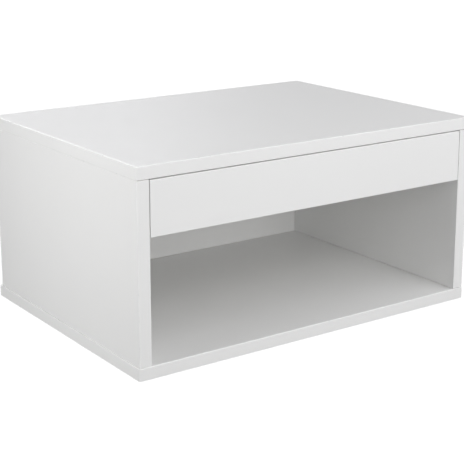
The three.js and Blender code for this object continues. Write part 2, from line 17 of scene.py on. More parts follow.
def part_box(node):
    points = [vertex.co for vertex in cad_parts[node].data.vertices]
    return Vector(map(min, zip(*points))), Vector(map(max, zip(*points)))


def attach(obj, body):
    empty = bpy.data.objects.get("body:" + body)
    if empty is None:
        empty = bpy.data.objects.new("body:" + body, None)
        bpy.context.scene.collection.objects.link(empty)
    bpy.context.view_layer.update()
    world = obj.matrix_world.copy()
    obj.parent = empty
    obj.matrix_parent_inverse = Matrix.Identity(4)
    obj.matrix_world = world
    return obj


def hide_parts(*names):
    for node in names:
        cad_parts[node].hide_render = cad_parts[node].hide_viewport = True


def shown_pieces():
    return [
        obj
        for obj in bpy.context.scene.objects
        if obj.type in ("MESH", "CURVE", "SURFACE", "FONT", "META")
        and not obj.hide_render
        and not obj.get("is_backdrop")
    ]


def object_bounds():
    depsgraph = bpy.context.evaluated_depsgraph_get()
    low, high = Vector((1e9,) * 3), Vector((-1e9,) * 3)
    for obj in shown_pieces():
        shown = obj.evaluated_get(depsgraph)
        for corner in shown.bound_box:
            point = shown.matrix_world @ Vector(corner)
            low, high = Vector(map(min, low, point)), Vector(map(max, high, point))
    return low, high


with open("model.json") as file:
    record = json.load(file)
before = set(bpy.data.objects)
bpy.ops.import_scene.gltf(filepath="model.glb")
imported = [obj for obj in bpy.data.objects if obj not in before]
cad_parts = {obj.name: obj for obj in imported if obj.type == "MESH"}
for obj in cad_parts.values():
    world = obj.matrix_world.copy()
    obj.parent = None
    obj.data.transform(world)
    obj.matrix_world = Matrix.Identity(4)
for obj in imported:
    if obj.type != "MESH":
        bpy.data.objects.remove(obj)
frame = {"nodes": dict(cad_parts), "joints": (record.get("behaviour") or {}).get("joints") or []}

MM = 0.001
cad_low, cad_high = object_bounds()
print("size in mm:", [round(extent / MM, 1) for extent in cad_high - cad_low])

# %% [markdown]
# ## The camera
# The picture was taken from the front left, a little above the top board, with a long lens. A camera can be
# placed by trial, but solving it from the boards' corners is surer. The angles below come from such a fit.
# The small downward shift keeps the uprights nearly parallel, as they are in the picture.

# %% Camera
view_azimuth, view_elevation = -35.04, 13.92
view_distance = 1.557
view_aim = Vector((0.0044, 0.0029, 0.1459))
lens_length = 95.75
sensor_size = 36
downward_shift = -0.1


def way_to(azimuth, elevation):
    """The direction from the object at two angles in degrees; azimuth 0 is straight in front."""
    a, e = math.radians(azimuth), math.radians(elevation)
    return Vector((math.sin(a) * math.cos(e), -math.cos(a) * math.cos(e), math.sin(e)))


def placed(name, data):
    """A new object in the scene."""
    made = bpy.data.objects.new(name, data)
    bpy.context.scene.collection.objects.link(made)
    return made


def facing(name, data, aim, azimuth, elevation, distance):
    """A camera or a lamp at a distance from its aim, turned to face it."""
    made, way = placed(name, data), way_to(azimuth, elevation)
    made.location = aim + way * distance
    made.rotation_euler = (-way).to_track_quat("-Z", "Y").to_euler()
    return made


camera_data = bpy.data.cameras.new("camera")
camera_data.lens = lens_length
camera_data.sensor_width = sensor_size
camera_data.shift_y = downward_shift
camera = facing("camera", camera_data, view_aim, view_azimuth, view_elevation, view_distance)
bpy.context.scene.camera = camera
bpy.context.scene.view_settings.view_transform = "Standard"
print("camera at", [round(x, 3) for x in camera.location])

# %% [markdown]
# ## Building node trees
# Materials and geometry trees are both made of nodes joined by links. A small helper adds a node, sets its
# properties, and fills each input either with a value or with a link from another node's output. Most nodes
# are wanted only for what their first output gives, so a second helper returns that.

# %% Node helpers
def fill(tree, target, sockets):
    """Give inputs of a node a value or a link each."""
    for name, value in sockets.items():
        if isinstance(value, bpy.types.NodeSocket):
            tree.links.new(value, target.inputs[name])
        else:
            target.inputs[name].default_value = value


def node(tree, kind, sockets=None, **settings):
    """Add a node with its settings, and fill its inputs."""
    made = tree.nodes.new(kind)
    for name, value in settings.items():
        setattr(made, name, value)
    fill(tree, made, sockets or {})
    return made


def result(tree, kind, sockets=None, **settings):
    """Add a node, and return its first output."""
    return node(tree, kind, sockets, **settings).outputs[0]


def calc(tree, operation, *values):
    """One step of arithmetic as a node."""
    return result(tree, "ShaderNodeMath", dict(enumerate(values)), operation=operation)


def ramp(tree, value, from_low, from_high, to_low=0.0, to_high=1.0):
    """Carry a value from one range to another, and keep it inside."""
    ends = {"From Min": from_low, "From Max": from_high, "To Min": to_low, "To Max": to_high}
    return result(tree, "ShaderNodeMapRange", {"Value": value, **ends}, clamp=True)


print("node helpers ready")

# %% [markdown]
# ## The studio
# The object is shown on pure white, yet it is a white object, so its own surfaces must stay a little darker
# than the ground. A large pale floor lies so far below it that the object can be looked at from underneath
# too. For what the camera sees directly, floor and sky are lifted to white with the Light Path node; what
# lights the object stays plain.

# %% Floor and sky
floor_level = -2.4
floor_reach = 40
floor_tone = 0.8
floor_dullness = 0.9
sky_strength = 0.2
floor_glow = 0.9
four_corners = ((-1, -1), (1, -1), (1, 1), (-1, 1))


def seen_directly(tree):
    """1 for rays from the camera, off polished metal and through clear things; 0 for light on the object."""
    path = node(tree, "ShaderNodeLightPath").outputs
    sharp = calc(tree, "MAXIMUM", path["Is Glossy Ray"], path["Is Transmission Ray"])
    return calc(tree, "MAXIMUM", path["Is Camera Ray"], sharp)


floor_mesh = bpy.data.meshes.new("floor")
floor_corners = [(floor_reach * x, floor_reach * y, floor_level) for x, y in four_corners]
floor_mesh.from_pydata(floor_corners, [], [(0, 1, 2, 3)])
floor = placed("floor", floor_mesh)
floor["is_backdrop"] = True

floor_paint = bpy.data.materials.new("floor_paint")
floor_paint.use_nodes = True
floor_mesh.materials.append(floor_paint)
paint_tree = floor_paint.node_tree
fill(paint_tree, paint_tree.nodes["Principled BSDF"], {
    "Base Color": (floor_tone, floor_tone, floor_tone, 1),
    "Roughness": floor_dullness,
    "Emission Color": (1, 1, 1, 1),
    "Emission Strength": calc(paint_tree, "MULTIPLY", seen_directly(paint_tree), floor_glow),
})

world = bpy.data.worlds.new("studio")
world.use_nodes = True
bpy.context.scene.world = world
sky_tree = world.node_tree
sky_lift = ramp(sky_tree, seen_directly(sky_tree), 0.0, 1.0, sky_strength, 1.0)
fill(sky_tree, sky_tree.nodes["Background"], {"Color": (1, 1, 1, 1), "Strength": sky_lift})
print("floor at", floor_level, "m")

# %% [markdown]
# Softboxes model the form. In the picture the front is as bright as the top and even the back of the shelf
# is well lit, so most of the light comes from a large box low in front, helped by a weak one beside it. A
# near box on the left and a higher one on the right give each face its slow fall of light, and one behind
# serves the top and the rear. The powers were found by rendering each lamp alone and adding up the shares
# that come nearest to the picture.

# %% Lamps
object_middle = (cad_low + cad_high) / 2
cool_white = (0.975, 0.975, 1.0)
plain_white = (1.0, 1.0, 1.0)


def softbox(name, azimuth, elevation, distance, size, power, tint=plain_white):
    """A square lamp that faces the object from a distance."""
    lamp = bpy.data.lights.new(name, "AREA")
    lamp.shape = "SQUARE"
    lamp.size = size
    lamp.energy = power
    lamp.color = tint
    facing(name, lamp, object_middle, azimuth, elevation, distance).visible_camera = False


softbox("front_softbox", 0, 18, 1.6, 1.2, 11.5)
softbox("front_left_softbox", -40, 18, 1.6, 1.2, 1.9)
softbox("right_softbox", 40, 40, 1.6, 1.2, 7.1, cool_white)
softbox("left_softbox", -86, 14, 0.9, 0.4, 2.85)
softbox("rear_softbox", 165, 25, 2.0, 1.2, 14, cool_white)
print("lamps:", [lamp.name for lamp in bpy.data.lights])

# %% [markdown]
# ## Finishes
# Each finish starts from the Principled shader. Real surfaces are never one flat colour, so each gets slow
# changes of tone, a roughness that varies, and a fine relief at its true scale in metres. Object
# coordinates are the piece's own metres, so a pattern keeps its size on every board.

# %% Finish helpers
noise_low, noise_high = 0.3, 0.7


def finish(name):
    """A new material with its node tree, its shader and the place on the piece in metres."""
    material = bpy.data.materials.new(name)
    material.use_nodes = True
    tree = material.node_tree
    return material, tree, tree.nodes["Principled BSDF"], node(tree, "ShaderNodeTexCoord").outputs["Object"]


def mottle(tree, places, size, detail=3.0):
    """Soft noise whose patches are about that many metres across."""
    return result(tree, "ShaderNodeTexNoise", {"Vector": places, "Scale": 1 / size, "Detail": detail})


def stretched(tree, places, scale):
    """The same places, stretched by a scale along each axis."""
    return result(tree, "ShaderNodeMapping", {"Vector": places, "Scale": scale})


def blend(tree, factor, low, high):
    """Mix two colours, or a colour and what another node gives."""
    mix = node(tree, "ShaderNodeMix", {"Factor": factor}, data_type="RGBA")
    ends = [index for index, socket in enumerate(mix.inputs) if socket.type == "RGBA"]
    colours = [value if isinstance(value, bpy.types.NodeSocket) else (*value, 1) for value in (low, high)]
    fill(tree, mix, dict(zip(ends, colours)))
    return next(socket for socket in mix.outputs if socket.type == "RGBA")


def relief(tree, shader, height, depth):
    """Raise a pattern by a depth in metres, on top of any relief already there."""
    sockets = {"Height": height, "Distance": depth, "Strength": 1.0}
    if shader.inputs["Normal"].is_linked:
        sockets["Normal"] = shader.inputs["Normal"].links[0].from_socket
    fill(tree, shader, {"Normal": result(tree, "ShaderNodeBump", sockets)})


def surface(tree, shader, tone, dullness, **others):
    """Fill the shader's colour and roughness, and any other inputs by name, with _ for a space."""
    named = {name.replace("_", " "): value for name, value in others.items()}
    fill(tree, shader, {"Base Color": tone, "Roughness": dullness, **named})


def uneven(tree, pattern, low, high):
    """The middle of a noise, carried to a range; the usual way to vary a roughness."""
    return ramp(tree, pattern, noise_low, noise_high, low, high)


print("finish helpers ready")

# %% [markdown]
# ### White melamine
# The boards are faced with white melamine paper, pressed in a plate with a fine pearl texture. It is matt
# to satin: it scatters light widely and mirrors little, even at a low angle. The tone wanders by about one
# per cent over a hand's width. Its white is a touch warm, which shows only where light bounces from board
# to board in the shelf.

# %% White melamine
board_gloss = 0.3
board_white_low = (0.888, 0.888, 0.882)
board_white_high = (0.905, 0.905, 0.899)


def white_melamine():
    material, tree, shader, places = finish("white_melamine")
    slow = mottle(tree, places, 120 * MM, 2)
    pearl = mottle(tree, places, 0.9 * MM, 2)
    grain = mottle(tree, places, 0.25 * MM, 1)
    tone = blend(tree, slow, board_white_low, board_white_high)
    dullness = uneven(tree, mottle(tree, places, 8 * MM), 0.54, 0.62)
    surface(tree, shader, tone, dullness, Specular_IOR_Level=board_gloss)
    relief(tree, shader, pearl, 0.025 * MM)
    relief(tree, shader, grain, 0.006 * MM)
    return material


melamine = white_melamine()
print("made", melamine.name)

# %% [markdown]
# ### Edge band
# The cut edges are closed with a strip of white plastic a millimetre thick. A scraper rounds its two
# arrises and leaves faint marks along the strip, so the relief is stretched lengthwise: once for level
# edges, once for upright ones. The rounded arris is where hands and books touch: it is polished brighter,
# unevenly, with a few dull nicks.

# %% Edge bands and arrises
arris_gloss = 0.8
arris_polish = 0.4
polish_dullness = 0.15


def edge_band(name, stretch, worn=False):
    material, tree, shader, places = finish(name)
    lines = mottle(tree, stretched(tree, places, stretch), 1.0, 2)
    slow = mottle(tree, places, 60 * MM, 2)
    tone = blend(tree, slow, board_white_low, board_white_high)
    dullness = uneven(tree, lines, 0.46, 0.56)
    gloss, polish = board_gloss, {}
    if worn:
        nicks = ramp(tree, mottle(tree, places, 3.5 * MM, 4), 0.66, 0.72)
        tone = blend(tree, nicks, tone, (0.79, 0.785, 0.77))
        dullness = uneven(tree, mottle(tree, places, 6 * MM), 0.24, 0.42)
        relief(tree, shader, calc(tree, "SUBTRACT", 1.0, nicks), 0.03 * MM)
        gloss, polish = arris_gloss, {"Coat_Weight": arris_polish, "Coat_Roughness": polish_dullness}
    surface(tree, shader, tone, dullness, Specular_IOR_Level=gloss, **polish)
    relief(tree, shader, lines, 0.006 * MM)
    return material


level_band = edge_band("level_edge_band", (25, 25, 2500))
upright_band = edge_band("upright_edge_band", (2500, 2500, 25))
arris = edge_band("worn_arris", (900, 900, 900), worn=True)
print("made", level_band.name, upright_band.name, arris.name)

# %% [markdown]
# ### Raw particleboard
# Inside every drilled hole the board shows its core: pressed wood chips, finer near the faces. Voronoi
# cells stretched in the board's plane look like chips; each cell has its own brown.

# %% Raw particleboard
def raw_particleboard():
    material, tree, shader, places = finish("raw_particleboard")
    sockets = {"Vector": stretched(tree, places, (1.0, 0.6, 1.6)), "Scale": 1 / (1.6 * MM), "Randomness": 1.0}
    chips = node(tree, "ShaderNodeTexVoronoi", sockets).outputs
    shade = result(tree, "ShaderNodeSeparateColor", {"Color": chips["Color"]})
    tone = blend(tree, shade, (0.36, 0.23, 0.12), (0.66, 0.48, 0.29))
    gaps = ramp(tree, chips["Distance"], 0.45, 0.75)
    tone = blend(tree, gaps, tone, (0.20, 0.12, 0.06))
    surface(tree, shader, tone, ramp(tree, shade, 0.0, 1.0, 0.75, 0.95))
    relief(tree, shader, shade, 0.12 * MM)
    relief(tree, shader, mottle(tree, places, 0.3 * MM), 0.05 * MM)
    return material


raw_board = raw_particleboard()
print("made", raw_board.name)

# %% [markdown]
# ### Drawer foil and thin board
# The drawer box is wrapped in thin white paper foil, duller than melamine, with the board's chips faintly
# telegraphing through it. Its bottom is thin hardboard, lacquered white, whose cut edge stays brown.

# %% Drawer foil and thin board
def drawer_foil():
    material, tree, shader, places = finish("drawer_foil")
    chips = mottle(tree, stretched(tree, places, (1.0, 0.35, 1.0)), 2.5 * MM)
    tone = blend(tree, mottle(tree, places, 70 * MM), (0.755, 0.755, 0.745), (0.785, 0.785, 0.775))
    surface(tree, shader, tone, uneven(tree, chips, 0.46, 0.56))
    relief(tree, shader, chips, 0.02 * MM)
    return material


def hardboard(name, low, high, weave):
    material, tree, shader, places = finish(name)
    fibres = mottle(tree, places, 0.7 * MM, 4)
    tone = blend(tree, mottle(tree, places, 25 * MM, 4), low, high)
    surface(tree, shader, tone, uneven(tree, fibres, 0.5, 0.66))
    relief(tree, shader, fibres, weave)
    return material


foil = drawer_foil()
lacquered = hardboard("lacquered_hardboard", (0.78, 0.77, 0.74), (0.81, 0.80, 0.77), 0.012 * MM)
brown_edge = hardboard("brown_hardboard_edge", (0.20, 0.11, 0.055), (0.29, 0.17, 0.09), 0.06 * MM)
print("made", foil.name, lacquered.name, brown_edge.name)

# %% [markdown]
# ### Enamel, zinc and nylon
# The rails are steel baked with an off-white enamel that flows into a slight orange peel. Screws and plates
# carry bright zinc, a metal whose grain shows as small patches of different sheen. The cams are die-cast,
# so they are duller and a little pitted. The rollers are moulded in natural nylon.

# %% Metal and plastic finishes
def enamel():
    material, tree, shader, places = finish("baked_enamel")
    tone = blend(tree, mottle(tree, places, 30 * MM), (0.77, 0.76, 0.73), (0.81, 0.80, 0.77))
    surface(tree, shader, tone, uneven(tree, mottle(tree, places, 5 * MM), 0.26, 0.38))
    relief(tree, shader, mottle(tree, places, 1.4 * MM, 1), 0.02 * MM)
    return material


def zinc(name, low, high, sheen, patch, pits):
    material, tree, shader, places = finish(name)
    cells = node(tree, "ShaderNodeTexVoronoi", {"Vector": places, "Scale": 1 / patch}).outputs["Color"]
    shade = result(tree, "ShaderNodeSeparateColor", {"Color": cells})
    surface(tree, shader, blend(tree, shade, low, high), ramp(tree, shade, 0.0, 1.0, *sheen), Metallic=1.0)
    relief(tree, shader, mottle(tree, places, patch / 3), pits)
    return material


def nylon():
    material, tree, shader, places = finish("natural_nylon")
    tone = blend(tree, mottle(tree, places, 6 * MM), (0.76, 0.74, 0.68), (0.80, 0.78, 0.72))
    dullness = uneven(tree, mottle(tree, places, 1.2 * MM), 0.30, 0.42)
    surface(tree, shader, tone, dullness, Subsurface_Weight=0.15, Subsurface_Scale=1.5 * MM)
    relief(tree, shader, mottle(tree, places, 0.5 * MM), 0.006 * MM)
    return material


rail_enamel = enamel()
zinc_plate = zinc("bright_zinc_plate", (0.43, 0.44, 0.46), (0.52, 0.53, 0.56),
                  sheen=(0.24, 0.36), patch=1.1 * MM, pits=0.006 * MM)
cast_zinc = zinc("die_cast_zinc", (0.37, 0.38, 0.39), (0.45, 0.46, 0.48),
                 sheen=(0.42, 0.56), patch=0.8 * MM, pits=0.03 * MM)
roller_nylon = nylon()
print("made", rail_enamel.name, zinc_plate.name, cast_zinc.name, roller_nylon.name)

# %% [markdown]
# ### Beech
# The dowels are turned from beech along the grain. Beech is pink brown with short darker flecks, so a noise
# is stretched along the dowel and a second, finer one adds the flecks.

# %% Beech
def beech_wood():
    material, tree, shader, places = finish("beech")
    along = stretched(tree, places, (0.15, 1.0, 1.0))
    grain = mottle(tree, along, 1.2 * MM, 4)
    flecks = ramp(tree, mottle(tree, along, 0.35 * MM, 1), 0.62, 0.70)
    tone = blend(tree, grain, (0.52, 0.33, 0.18), (0.68, 0.48, 0.29))
    surface(tree, shader, blend(tree, flecks, tone, (0.38, 0.22, 0.11)), uneven(tree, grain, 0.6, 0.75))
    relief(tree, shader, grain, 0.03 * MM)
    return material


beech = beech_wood()
print("made", beech.name)

# %% [markdown]
# ## Skins through rings
# Nearly every piece here can be read as a stack of rings: a board is a rounded rectangle that steps in and
# out at its arrises, a screw is a stack of circles, a rail is one outline drawn out along its length. So
# one helper that joins rings of points into a closed skin serves them all, and it lets each strip of faces
# have its own finish.

# %% Skin helper
def as_object(name, shape, materials):
    mesh = bpy.data.meshes.new(name)
    shape.to_mesh(mesh)
    shape.free()
    for material in materials:
        mesh.materials.append(material)
    return placed(name, mesh)


def skin(name, rings, materials, paint=lambda level, part: 0, caps=(0, 0), hollow=False):
    """Join rings, each with as many points as the next. A hollow shape's last ring meets its first."""
    shape = bmesh.new()
    loops = [[shape.verts.new(point) for point in ring] for ring in rings]
    upper = loops[1:] + (loops[:1] if hollow else [])
    for level, (low, high) in enumerate(zip(loops, upper)):
        for part in range(len(low)):
            after = (part + 1) % len(low)
            face = shape.faces.new((low[part], low[after], high[after], high[part]))
            face.material_index = paint(level, part)
    if not hollow:
        shape.faces.new(loops[0][::-1]).material_index = caps[0]
        shape.faces.new(loops[-1]).material_index = caps[1]
    bmesh.ops.recalc_face_normals(shape, faces=shape.faces)
    return as_object(name, shape, materials)


print("skin helper ready")

# %% [markdown]
# Two things are done to every finished piece. First its modifiers become plain mesh. Then it is handed to
# the frame: the body that it moves with, and the imported nodes that it stands for. Edges sharper
# than the crease angle stay crisp, and weighted normals keep the large faces flat in the light beside their
# small arrises.

# %% Settling and seating pieces
crease = math.radians(32)


def settle(piece):
    """Turn a piece's modifiers into plain mesh."""
    graph = bpy.context.evaluated_depsgraph_get()
    mesh = bpy.data.meshes.new_from_object(piece.evaluated_get(graph))
    piece.modifiers.clear()
    piece.data = mesh
    mesh.name = piece.name
    return piece


def seat(piece, body, nodes):
    """Hand a finished piece to the frame."""
    piece.data.shade_smooth()
    piece.data.set_sharp_from_angle(angle=crease)
    even = piece.modifiers.new("even_light", "WEIGHTED_NORMAL")
    even.keep_sharp = True
    settle(piece)
    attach(piece, body)
    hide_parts(*nodes)
    print(f"{piece.name}: {len(piece.data.polygons)} faces on {body}")
    return piece


print("settle and seat ready")

# %% [markdown]
# Holes and notches are cut with Boolean modifiers. The wall of a hole takes the cutter's material, so a
# hole drilled in a white board shows raw chips. The same helper welds parts on, as a press or a spot weld
# would.

# %% Cutting and welding
sharp_angle = math.radians(50)


def carve(piece, tools, operation="DIFFERENCE"):
    """Cut tools out of a piece, or weld them on, one after another."""
    for tool in tools:
        step = piece.modifiers.new(tool.name, "BOOLEAN")
        step.operation = operation
        step.solver = "EXACT"
        step.material_mode = "TRANSFER"
        step.object = tool
    settle(piece)
    for tool in tools:
        bpy.data.objects.remove(tool)
    return piece


def block(name, low, high, material):
    """A box between two corners."""
    (x1, y1, z1), (x2, y2, z2) = low, high
    rings = [[(x1, y1, z), (x2, y1, z), (x2, y2, z), (x1, y2, z)] for z in (z1, z2)]
    return skin(name, rings, [material])


def soften(piece, radius, steps=2):
    """Round a piece's sharp edges a little, as tumbling or paint does."""
    bevel = piece.modifiers.new("soft_edges", "BEVEL")
    bevel.width = radius
    bevel.segments = steps
    bevel.limit_method = "ANGLE"
    bevel.angle_limit = sharp_angle
    bevel.use_clamp_overlap = True
    return settle(piece)


print("carve, block and soften ready")

# %% [markdown]
# Turned pieces are circles stacked along an axis. A piece is drawn with its axis along Z and then laid
# along the way it is driven, with a second direction to fix its turn.

# %% Turning
UP, DOWN = Vector((0, 0, 1)), Vector((0, 0, -1))
FORWARD, BACKWARD = Vector((0, -1, 0)), Vector((0, 1, 0))


def crosswise(direction):
    """The usual second direction: up, or to the rear for what is driven up or down."""
    return BACKWARD if abs(direction.z) > 0.5 else UP


def laid(point, direction, across=None):
    """The matrix that lays +Z along a direction and +Y along another."""
    z = Vector(direction)
    y = Vector(across or crosswise(z))
    turn = Matrix((y.cross(z), y, z)).transposed()
    return Matrix.Translation(point) @ turn.to_4x4()


def circle(radius, along, facets, ripple=lambda angle: 1.0):
    """A ring round Z; ripple changes the radius with the angle."""
    angles = [2 * math.pi * facet / facets for facet in range(facets)]
    return [(radius * ripple(a) * math.cos(a), radius * ripple(a) * math.sin(a), along) for a in angles]


def turned(name, profile, material, place=Matrix(), facets=48):
    """A solid of revolution from (radius, distance along the axis), laid at a place."""
    made = skin(name, [circle(radius, along, facets) for radius, along in profile], [material])
    made.data.transform(place)
    return made


print("turning ready")

# %% [markdown]
# ## Where the fasteners sit
# The frame already holds every screw, cam, bolt and dowel, so their places are read from it instead of
# typed. A fastener's box gives its axis; with the way it is driven, that gives the point where it enters
# the wood.

# %% Fasteners read from the frame
sides = {"left": -1, "right": 1}
OUTWARD, INWARD = 1, -1


def measured(node_name):
    """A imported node's low and high corners, its middle and its half extents."""
    low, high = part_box(node_name)
    return low, high, (low + high) / 2, (high - low) / 2


def length_along(node_name, direction):
    half = measured(node_name)[3]
    return 2 * sum(abs(way) * extent for way, extent in zip(direction, half))


def entry(node_name, direction):
    """Where a fastener's axis starts, on the side it is driven from."""
    return measured(node_name)[2] - direction * length_along(node_name, direction) / 2


def fasteners(towards, *kinds, across=None):
    """Both sides' fasteners of some kinds: {node: (entry point, direction, across)}."""
    group = {}
    for kind in kinds:
        for side, sign in sides.items():
            direction = towards if isinstance(towards, Vector) else Vector((towards * sign, 0, 0))
            name = f"{side}_{kind}"
            group[name] = (entry(name, direction), direction, across or crosswise(direction))
    return group


cabinet_pan_screws = {
    **fasteners(OUTWARD, "cabinet_rail_front_screw", "cabinet_rail_rear_screw"),
    **fasteners(FORWARD, "hanger_lower_screw", "hanger_upper_screw"),
}
drawer_pan_screws = {
    **fasteners(UP, "drawer_rail_front_screw", "drawer_rail_rear_screw"),
    **fasteners(INWARD, "drawer_back_screw"),
}
base_screws = fasteners(UP, "front_base_screw", "rear_base_screw", "back_base_screw")
cabinet_cams = fasteners(OUTWARD, "front_cam", "rear_cam", across=UP)
drawer_cams = fasteners(INWARD, "drawer_cam", across=FORWARD)
cabinet_bolts = fasteners(DOWN, "front_cam_bolt", "rear_cam_bolt")
drawer_bolts = fasteners(BACKWARD, "drawer_cam_bolt")
dowels = fasteners(OUTWARD, "lower_dowel", "upper_dowel")
cabinet_axles = fasteners(OUTWARD, "cabinet_axle")
drawer_axles = fasteners(INWARD, "drawer_axle")
print(len(cabinet_pan_screws) + len(drawer_pan_screws), "pan screws,", len(base_screws), "base screws")

# %% [markdown]
# Each fastener needs its hole in every board that it passes. The hole is the fastener's outline grown by a
# small clearance. A cam's hole is open on the side where a screwdriver turns it, and a base screw's hole is
# stepped.

# %% Holes for the fasteners
fit = 0.3 * MM
past_face = 5 * MM
pan_thread_radius = 1.75 * MM
cam_radius = 7.5 * MM
bolt_radius = 3 * MM
dowel_radius = 4 * MM
base_head_radius = 5 * MM
base_head_rim = 0.8 * MM
base_head_depth = 4 * MM
base_shank_radius = 3.5 * MM
base_thread_radius = 3 * MM
board = 15 * MM


def hole_maker(*profile, material=raw_board):
    """A maker of holes along a fastener, from (radius, depth); they end just past the fastener's own end."""
    def drilled(name, place):
        end = length_along(name, place[1]) + fit
        outline = [(radius + fit, depth) for radius, depth in (*profile, (profile[-1][0], end))]
        return turned(f"hole_{name}", outline, material, laid(*place), facets=32)

    return drilled


def holes_for(board_node, *groups):
    """The cutters of all fasteners whose boxes reach into a board."""
    board_low, board_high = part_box(board_node)
    cutters = []
    for group, make in groups:
        for name, place in group.items():
            low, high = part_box(name)
            if all(low[k] < board_high[k] and high[k] > board_low[k] for k in range(3)):
                cutters.append(make(name, place))
    return cutters


cam_hole = hole_maker((cam_radius, -past_face))
bolt_hole = hole_maker((bolt_radius, -fit))
pan_hole = hole_maker((pan_thread_radius, 0))
stepped_hole = hole_maker(
    (base_head_radius, -past_face), (base_head_radius, base_head_rim), (base_shank_radius, base_head_depth),
    (base_shank_radius, board), (base_thread_radius, board + fit),
)
cabinet_holes = (
    (cabinet_cams, cam_hole),
    (cabinet_bolts, bolt_hole),
    (base_screws, stepped_hole),
    (dowels, hole_maker((dowel_radius, -fit))),
    (cabinet_pan_screws, pan_hole),
)
drawer_holes = ((drawer_cams, cam_hole), (drawer_bolts, bolt_hole), (drawer_pan_screws, pan_hole))
print("hole makers ready")

# %% [markdown]
# ## Banded boards
# The top, the bottom and the drawer front are banded on all four edges. A bevelled cube would do from afar,
# but the real board shows more: a face that ends in a hairline joint, a rounded arris, the flat of the
# band, and the same again on the other side. So the board is a stack of rounded rectangles that follow that
# section. The top and the bottom have well rounded arrises, while those of the drawer front and the side
# boards are finer.

# %% Rounded outlines
arris_steps = 5
sharp_radius = 0.02 * MM


def rounding(radius, steps=arris_steps):
    """A quarter circle between two faces, as distances from the edge where they would meet."""
    angles = [math.pi / 2 * step / steps for step in range(steps + 1)]
    return [(radius * (1 - math.sin(angle)), radius * (1 - math.cos(angle))) for angle in angles]


def set_on(axes, values):
    """A point from its coordinates along three axes given by number."""
    point = Vector()
    for axis, value in zip(axes, values):
        point[axis] = value
    return point


def rounded_rectangle(half_a, half_b, radius, inset=0.0):
    """Points round a rectangle with round corners, drawn in by an inset."""
    turn_radius = max(radius - inset, sharp_radius)
    points = []
    for quarter, (sign_a, sign_b) in enumerate(four_corners):
        for step in range(arris_steps + 1):
            angle = math.pi + (quarter + step / arris_steps) * math.pi / 2
            a = sign_a * (half_a - inset - turn_radius) + turn_radius * math.cos(angle)
            b = sign_b * (half_b - inset - turn_radius) + turn_radius * math.sin(angle)
            points.append((a, b))
    return points


print("outline helpers ready")

# %% Banded boards
arris_radius = 1 * MM
fine_arris = 0.5 * MM
hairline = 0.05 * MM
strip_finishes = [0, 0] + [2] * arris_steps + [1] + [2] * arris_steps + [0, 0]


def banded_section(thickness, radius):
    """(inset, level) from one face to the other: hairline, arris, band, arris, hairline."""
    half = [(radius + 2 * hairline, 0), (radius + hairline, hairline)] + rounding(radius)
    return half + [(inset, thickness - level) for inset, level in half[::-1]]


def banded_board(name, body, holes, radius=arris_radius):
    """A board banded all round, as thick as its node's box is along its thinnest way."""
    _, _, middle, half = measured(name)
    through = min(range(3), key=lambda axis: half[axis])
    a, b = [axis for axis in range(3) if axis != through]
    rings = []
    for inset, level in banded_section(2 * half[through], radius):
        outline = rounded_rectangle(half[a], half[b], radius, inset)
        rings.append([middle + set_on((a, b, through), (x, y, level - half[through])) for x, y in outline])
    finishes = [melamine, level_band, arris]
    made = skin(name + "_board", rings, finishes, lambda level, part: strip_finishes[level])
    carve(made, holes)
    return seat(made, body, [name])


banded_board("top_panel", "cabinet", holes_for("top_panel", *cabinet_holes))
banded_board("bottom_panel", "cabinet", holes_for("bottom_panel", *cabinet_holes))

# %% [markdown]
# ## Side boards
# Only the front edge of a side board is banded. Its upper and lower ends are sawn and meet the cover boards
# with a hairline joint, which shows in the picture as a thin grey line. The outline is drawn from above and
# carried up. The band's own end stays white, since a little of it can be seen under the rounded arris of
# the top board.

# %% Side boards
sawn_break = 0.3 * MM
band_end = 1.5 * MM
joint = 0.2 * MM


def side_outline(half_width, front, rear, inset):
    """Half from the middle of the front edge to the rear, then its mirror image; with each side's finish."""
    radius = max(fine_arris - inset, sharp_radius)
    half_width, front, rear = half_width - inset, front + inset, rear - inset
    half = [(half_width - aside, front + along) for aside, along in rounding(radius)] + [
        (half_width - hairline, front + radius + hairline),
        (half_width, front + radius + 2 * hairline),
        (half_width, rear - sawn_break),
        (half_width - sawn_break, rear),
    ]
    finishes = [2] * arris_steps + [0, 0, 0, 1]
    return half + [(-x, y) for x, y in half[::-1]], finishes + [1] + finishes[::-1] + [1]


def side_board(side):
    name = f"{side}_side_panel"
    low, high, middle, half = measured(name)
    rings = []
    foot, top = low.z + joint, high.z - joint
    lower = ((foot, band_end), (foot, sawn_break), (foot + sawn_break, 0))
    upper = ((top - sawn_break, 0), (top, sawn_break), (top, band_end))
    for level, inset in lower + upper:
        outline, finishes = side_outline(half.x, low.y, high.y, inset)
        rings.append([(middle.x + x, y, level) for x, y in outline])
    made = skin(name + "_board", rings, [melamine, upright_band, arris, raw_board],
                lambda level, part: finishes[part], caps=(3, 3))
    carve(made, holes_for(name, *cabinet_holes))
    return seat(made, "cabinet", [name])


for side in sides:
    side_board(side)

# %% [markdown]
# ## The back board
# The back is a plain white board between the sides, sawn all round with its edges broken. From behind it
# carries the two keyhole plates, and behind each keyhole lies a milled pocket, an oblong with round ends,
# where the head of the wall screw finds room.

# %% Back board
pocket_radius = 7 * MM
pocket_depth = 8 * MM
keyhole_run = 14 * MM


def sawn_board(name, low, high, through, materials, paint):
    """A plain board with broken edges, built up along its thinnest axis."""
    a, b = [axis for axis in range(3) if axis != through]
    bottom, top = low[through], high[through]
    rings = []
    section = ((sawn_break, bottom), (0, bottom + sawn_break), (0, top - sawn_break), (sawn_break, top))
    for inset, level in section:
        a1, a2, b1, b2 = low[a] + inset, high[a] - inset, low[b] + inset, high[b] - inset
        outline = ((a1, b1), (a2, b1), (a2, b2), (a1, b2))
        rings.append([set_on((a, b, through), (*corner, level)) for corner in outline])
    return skin(name, rings, materials, paint)


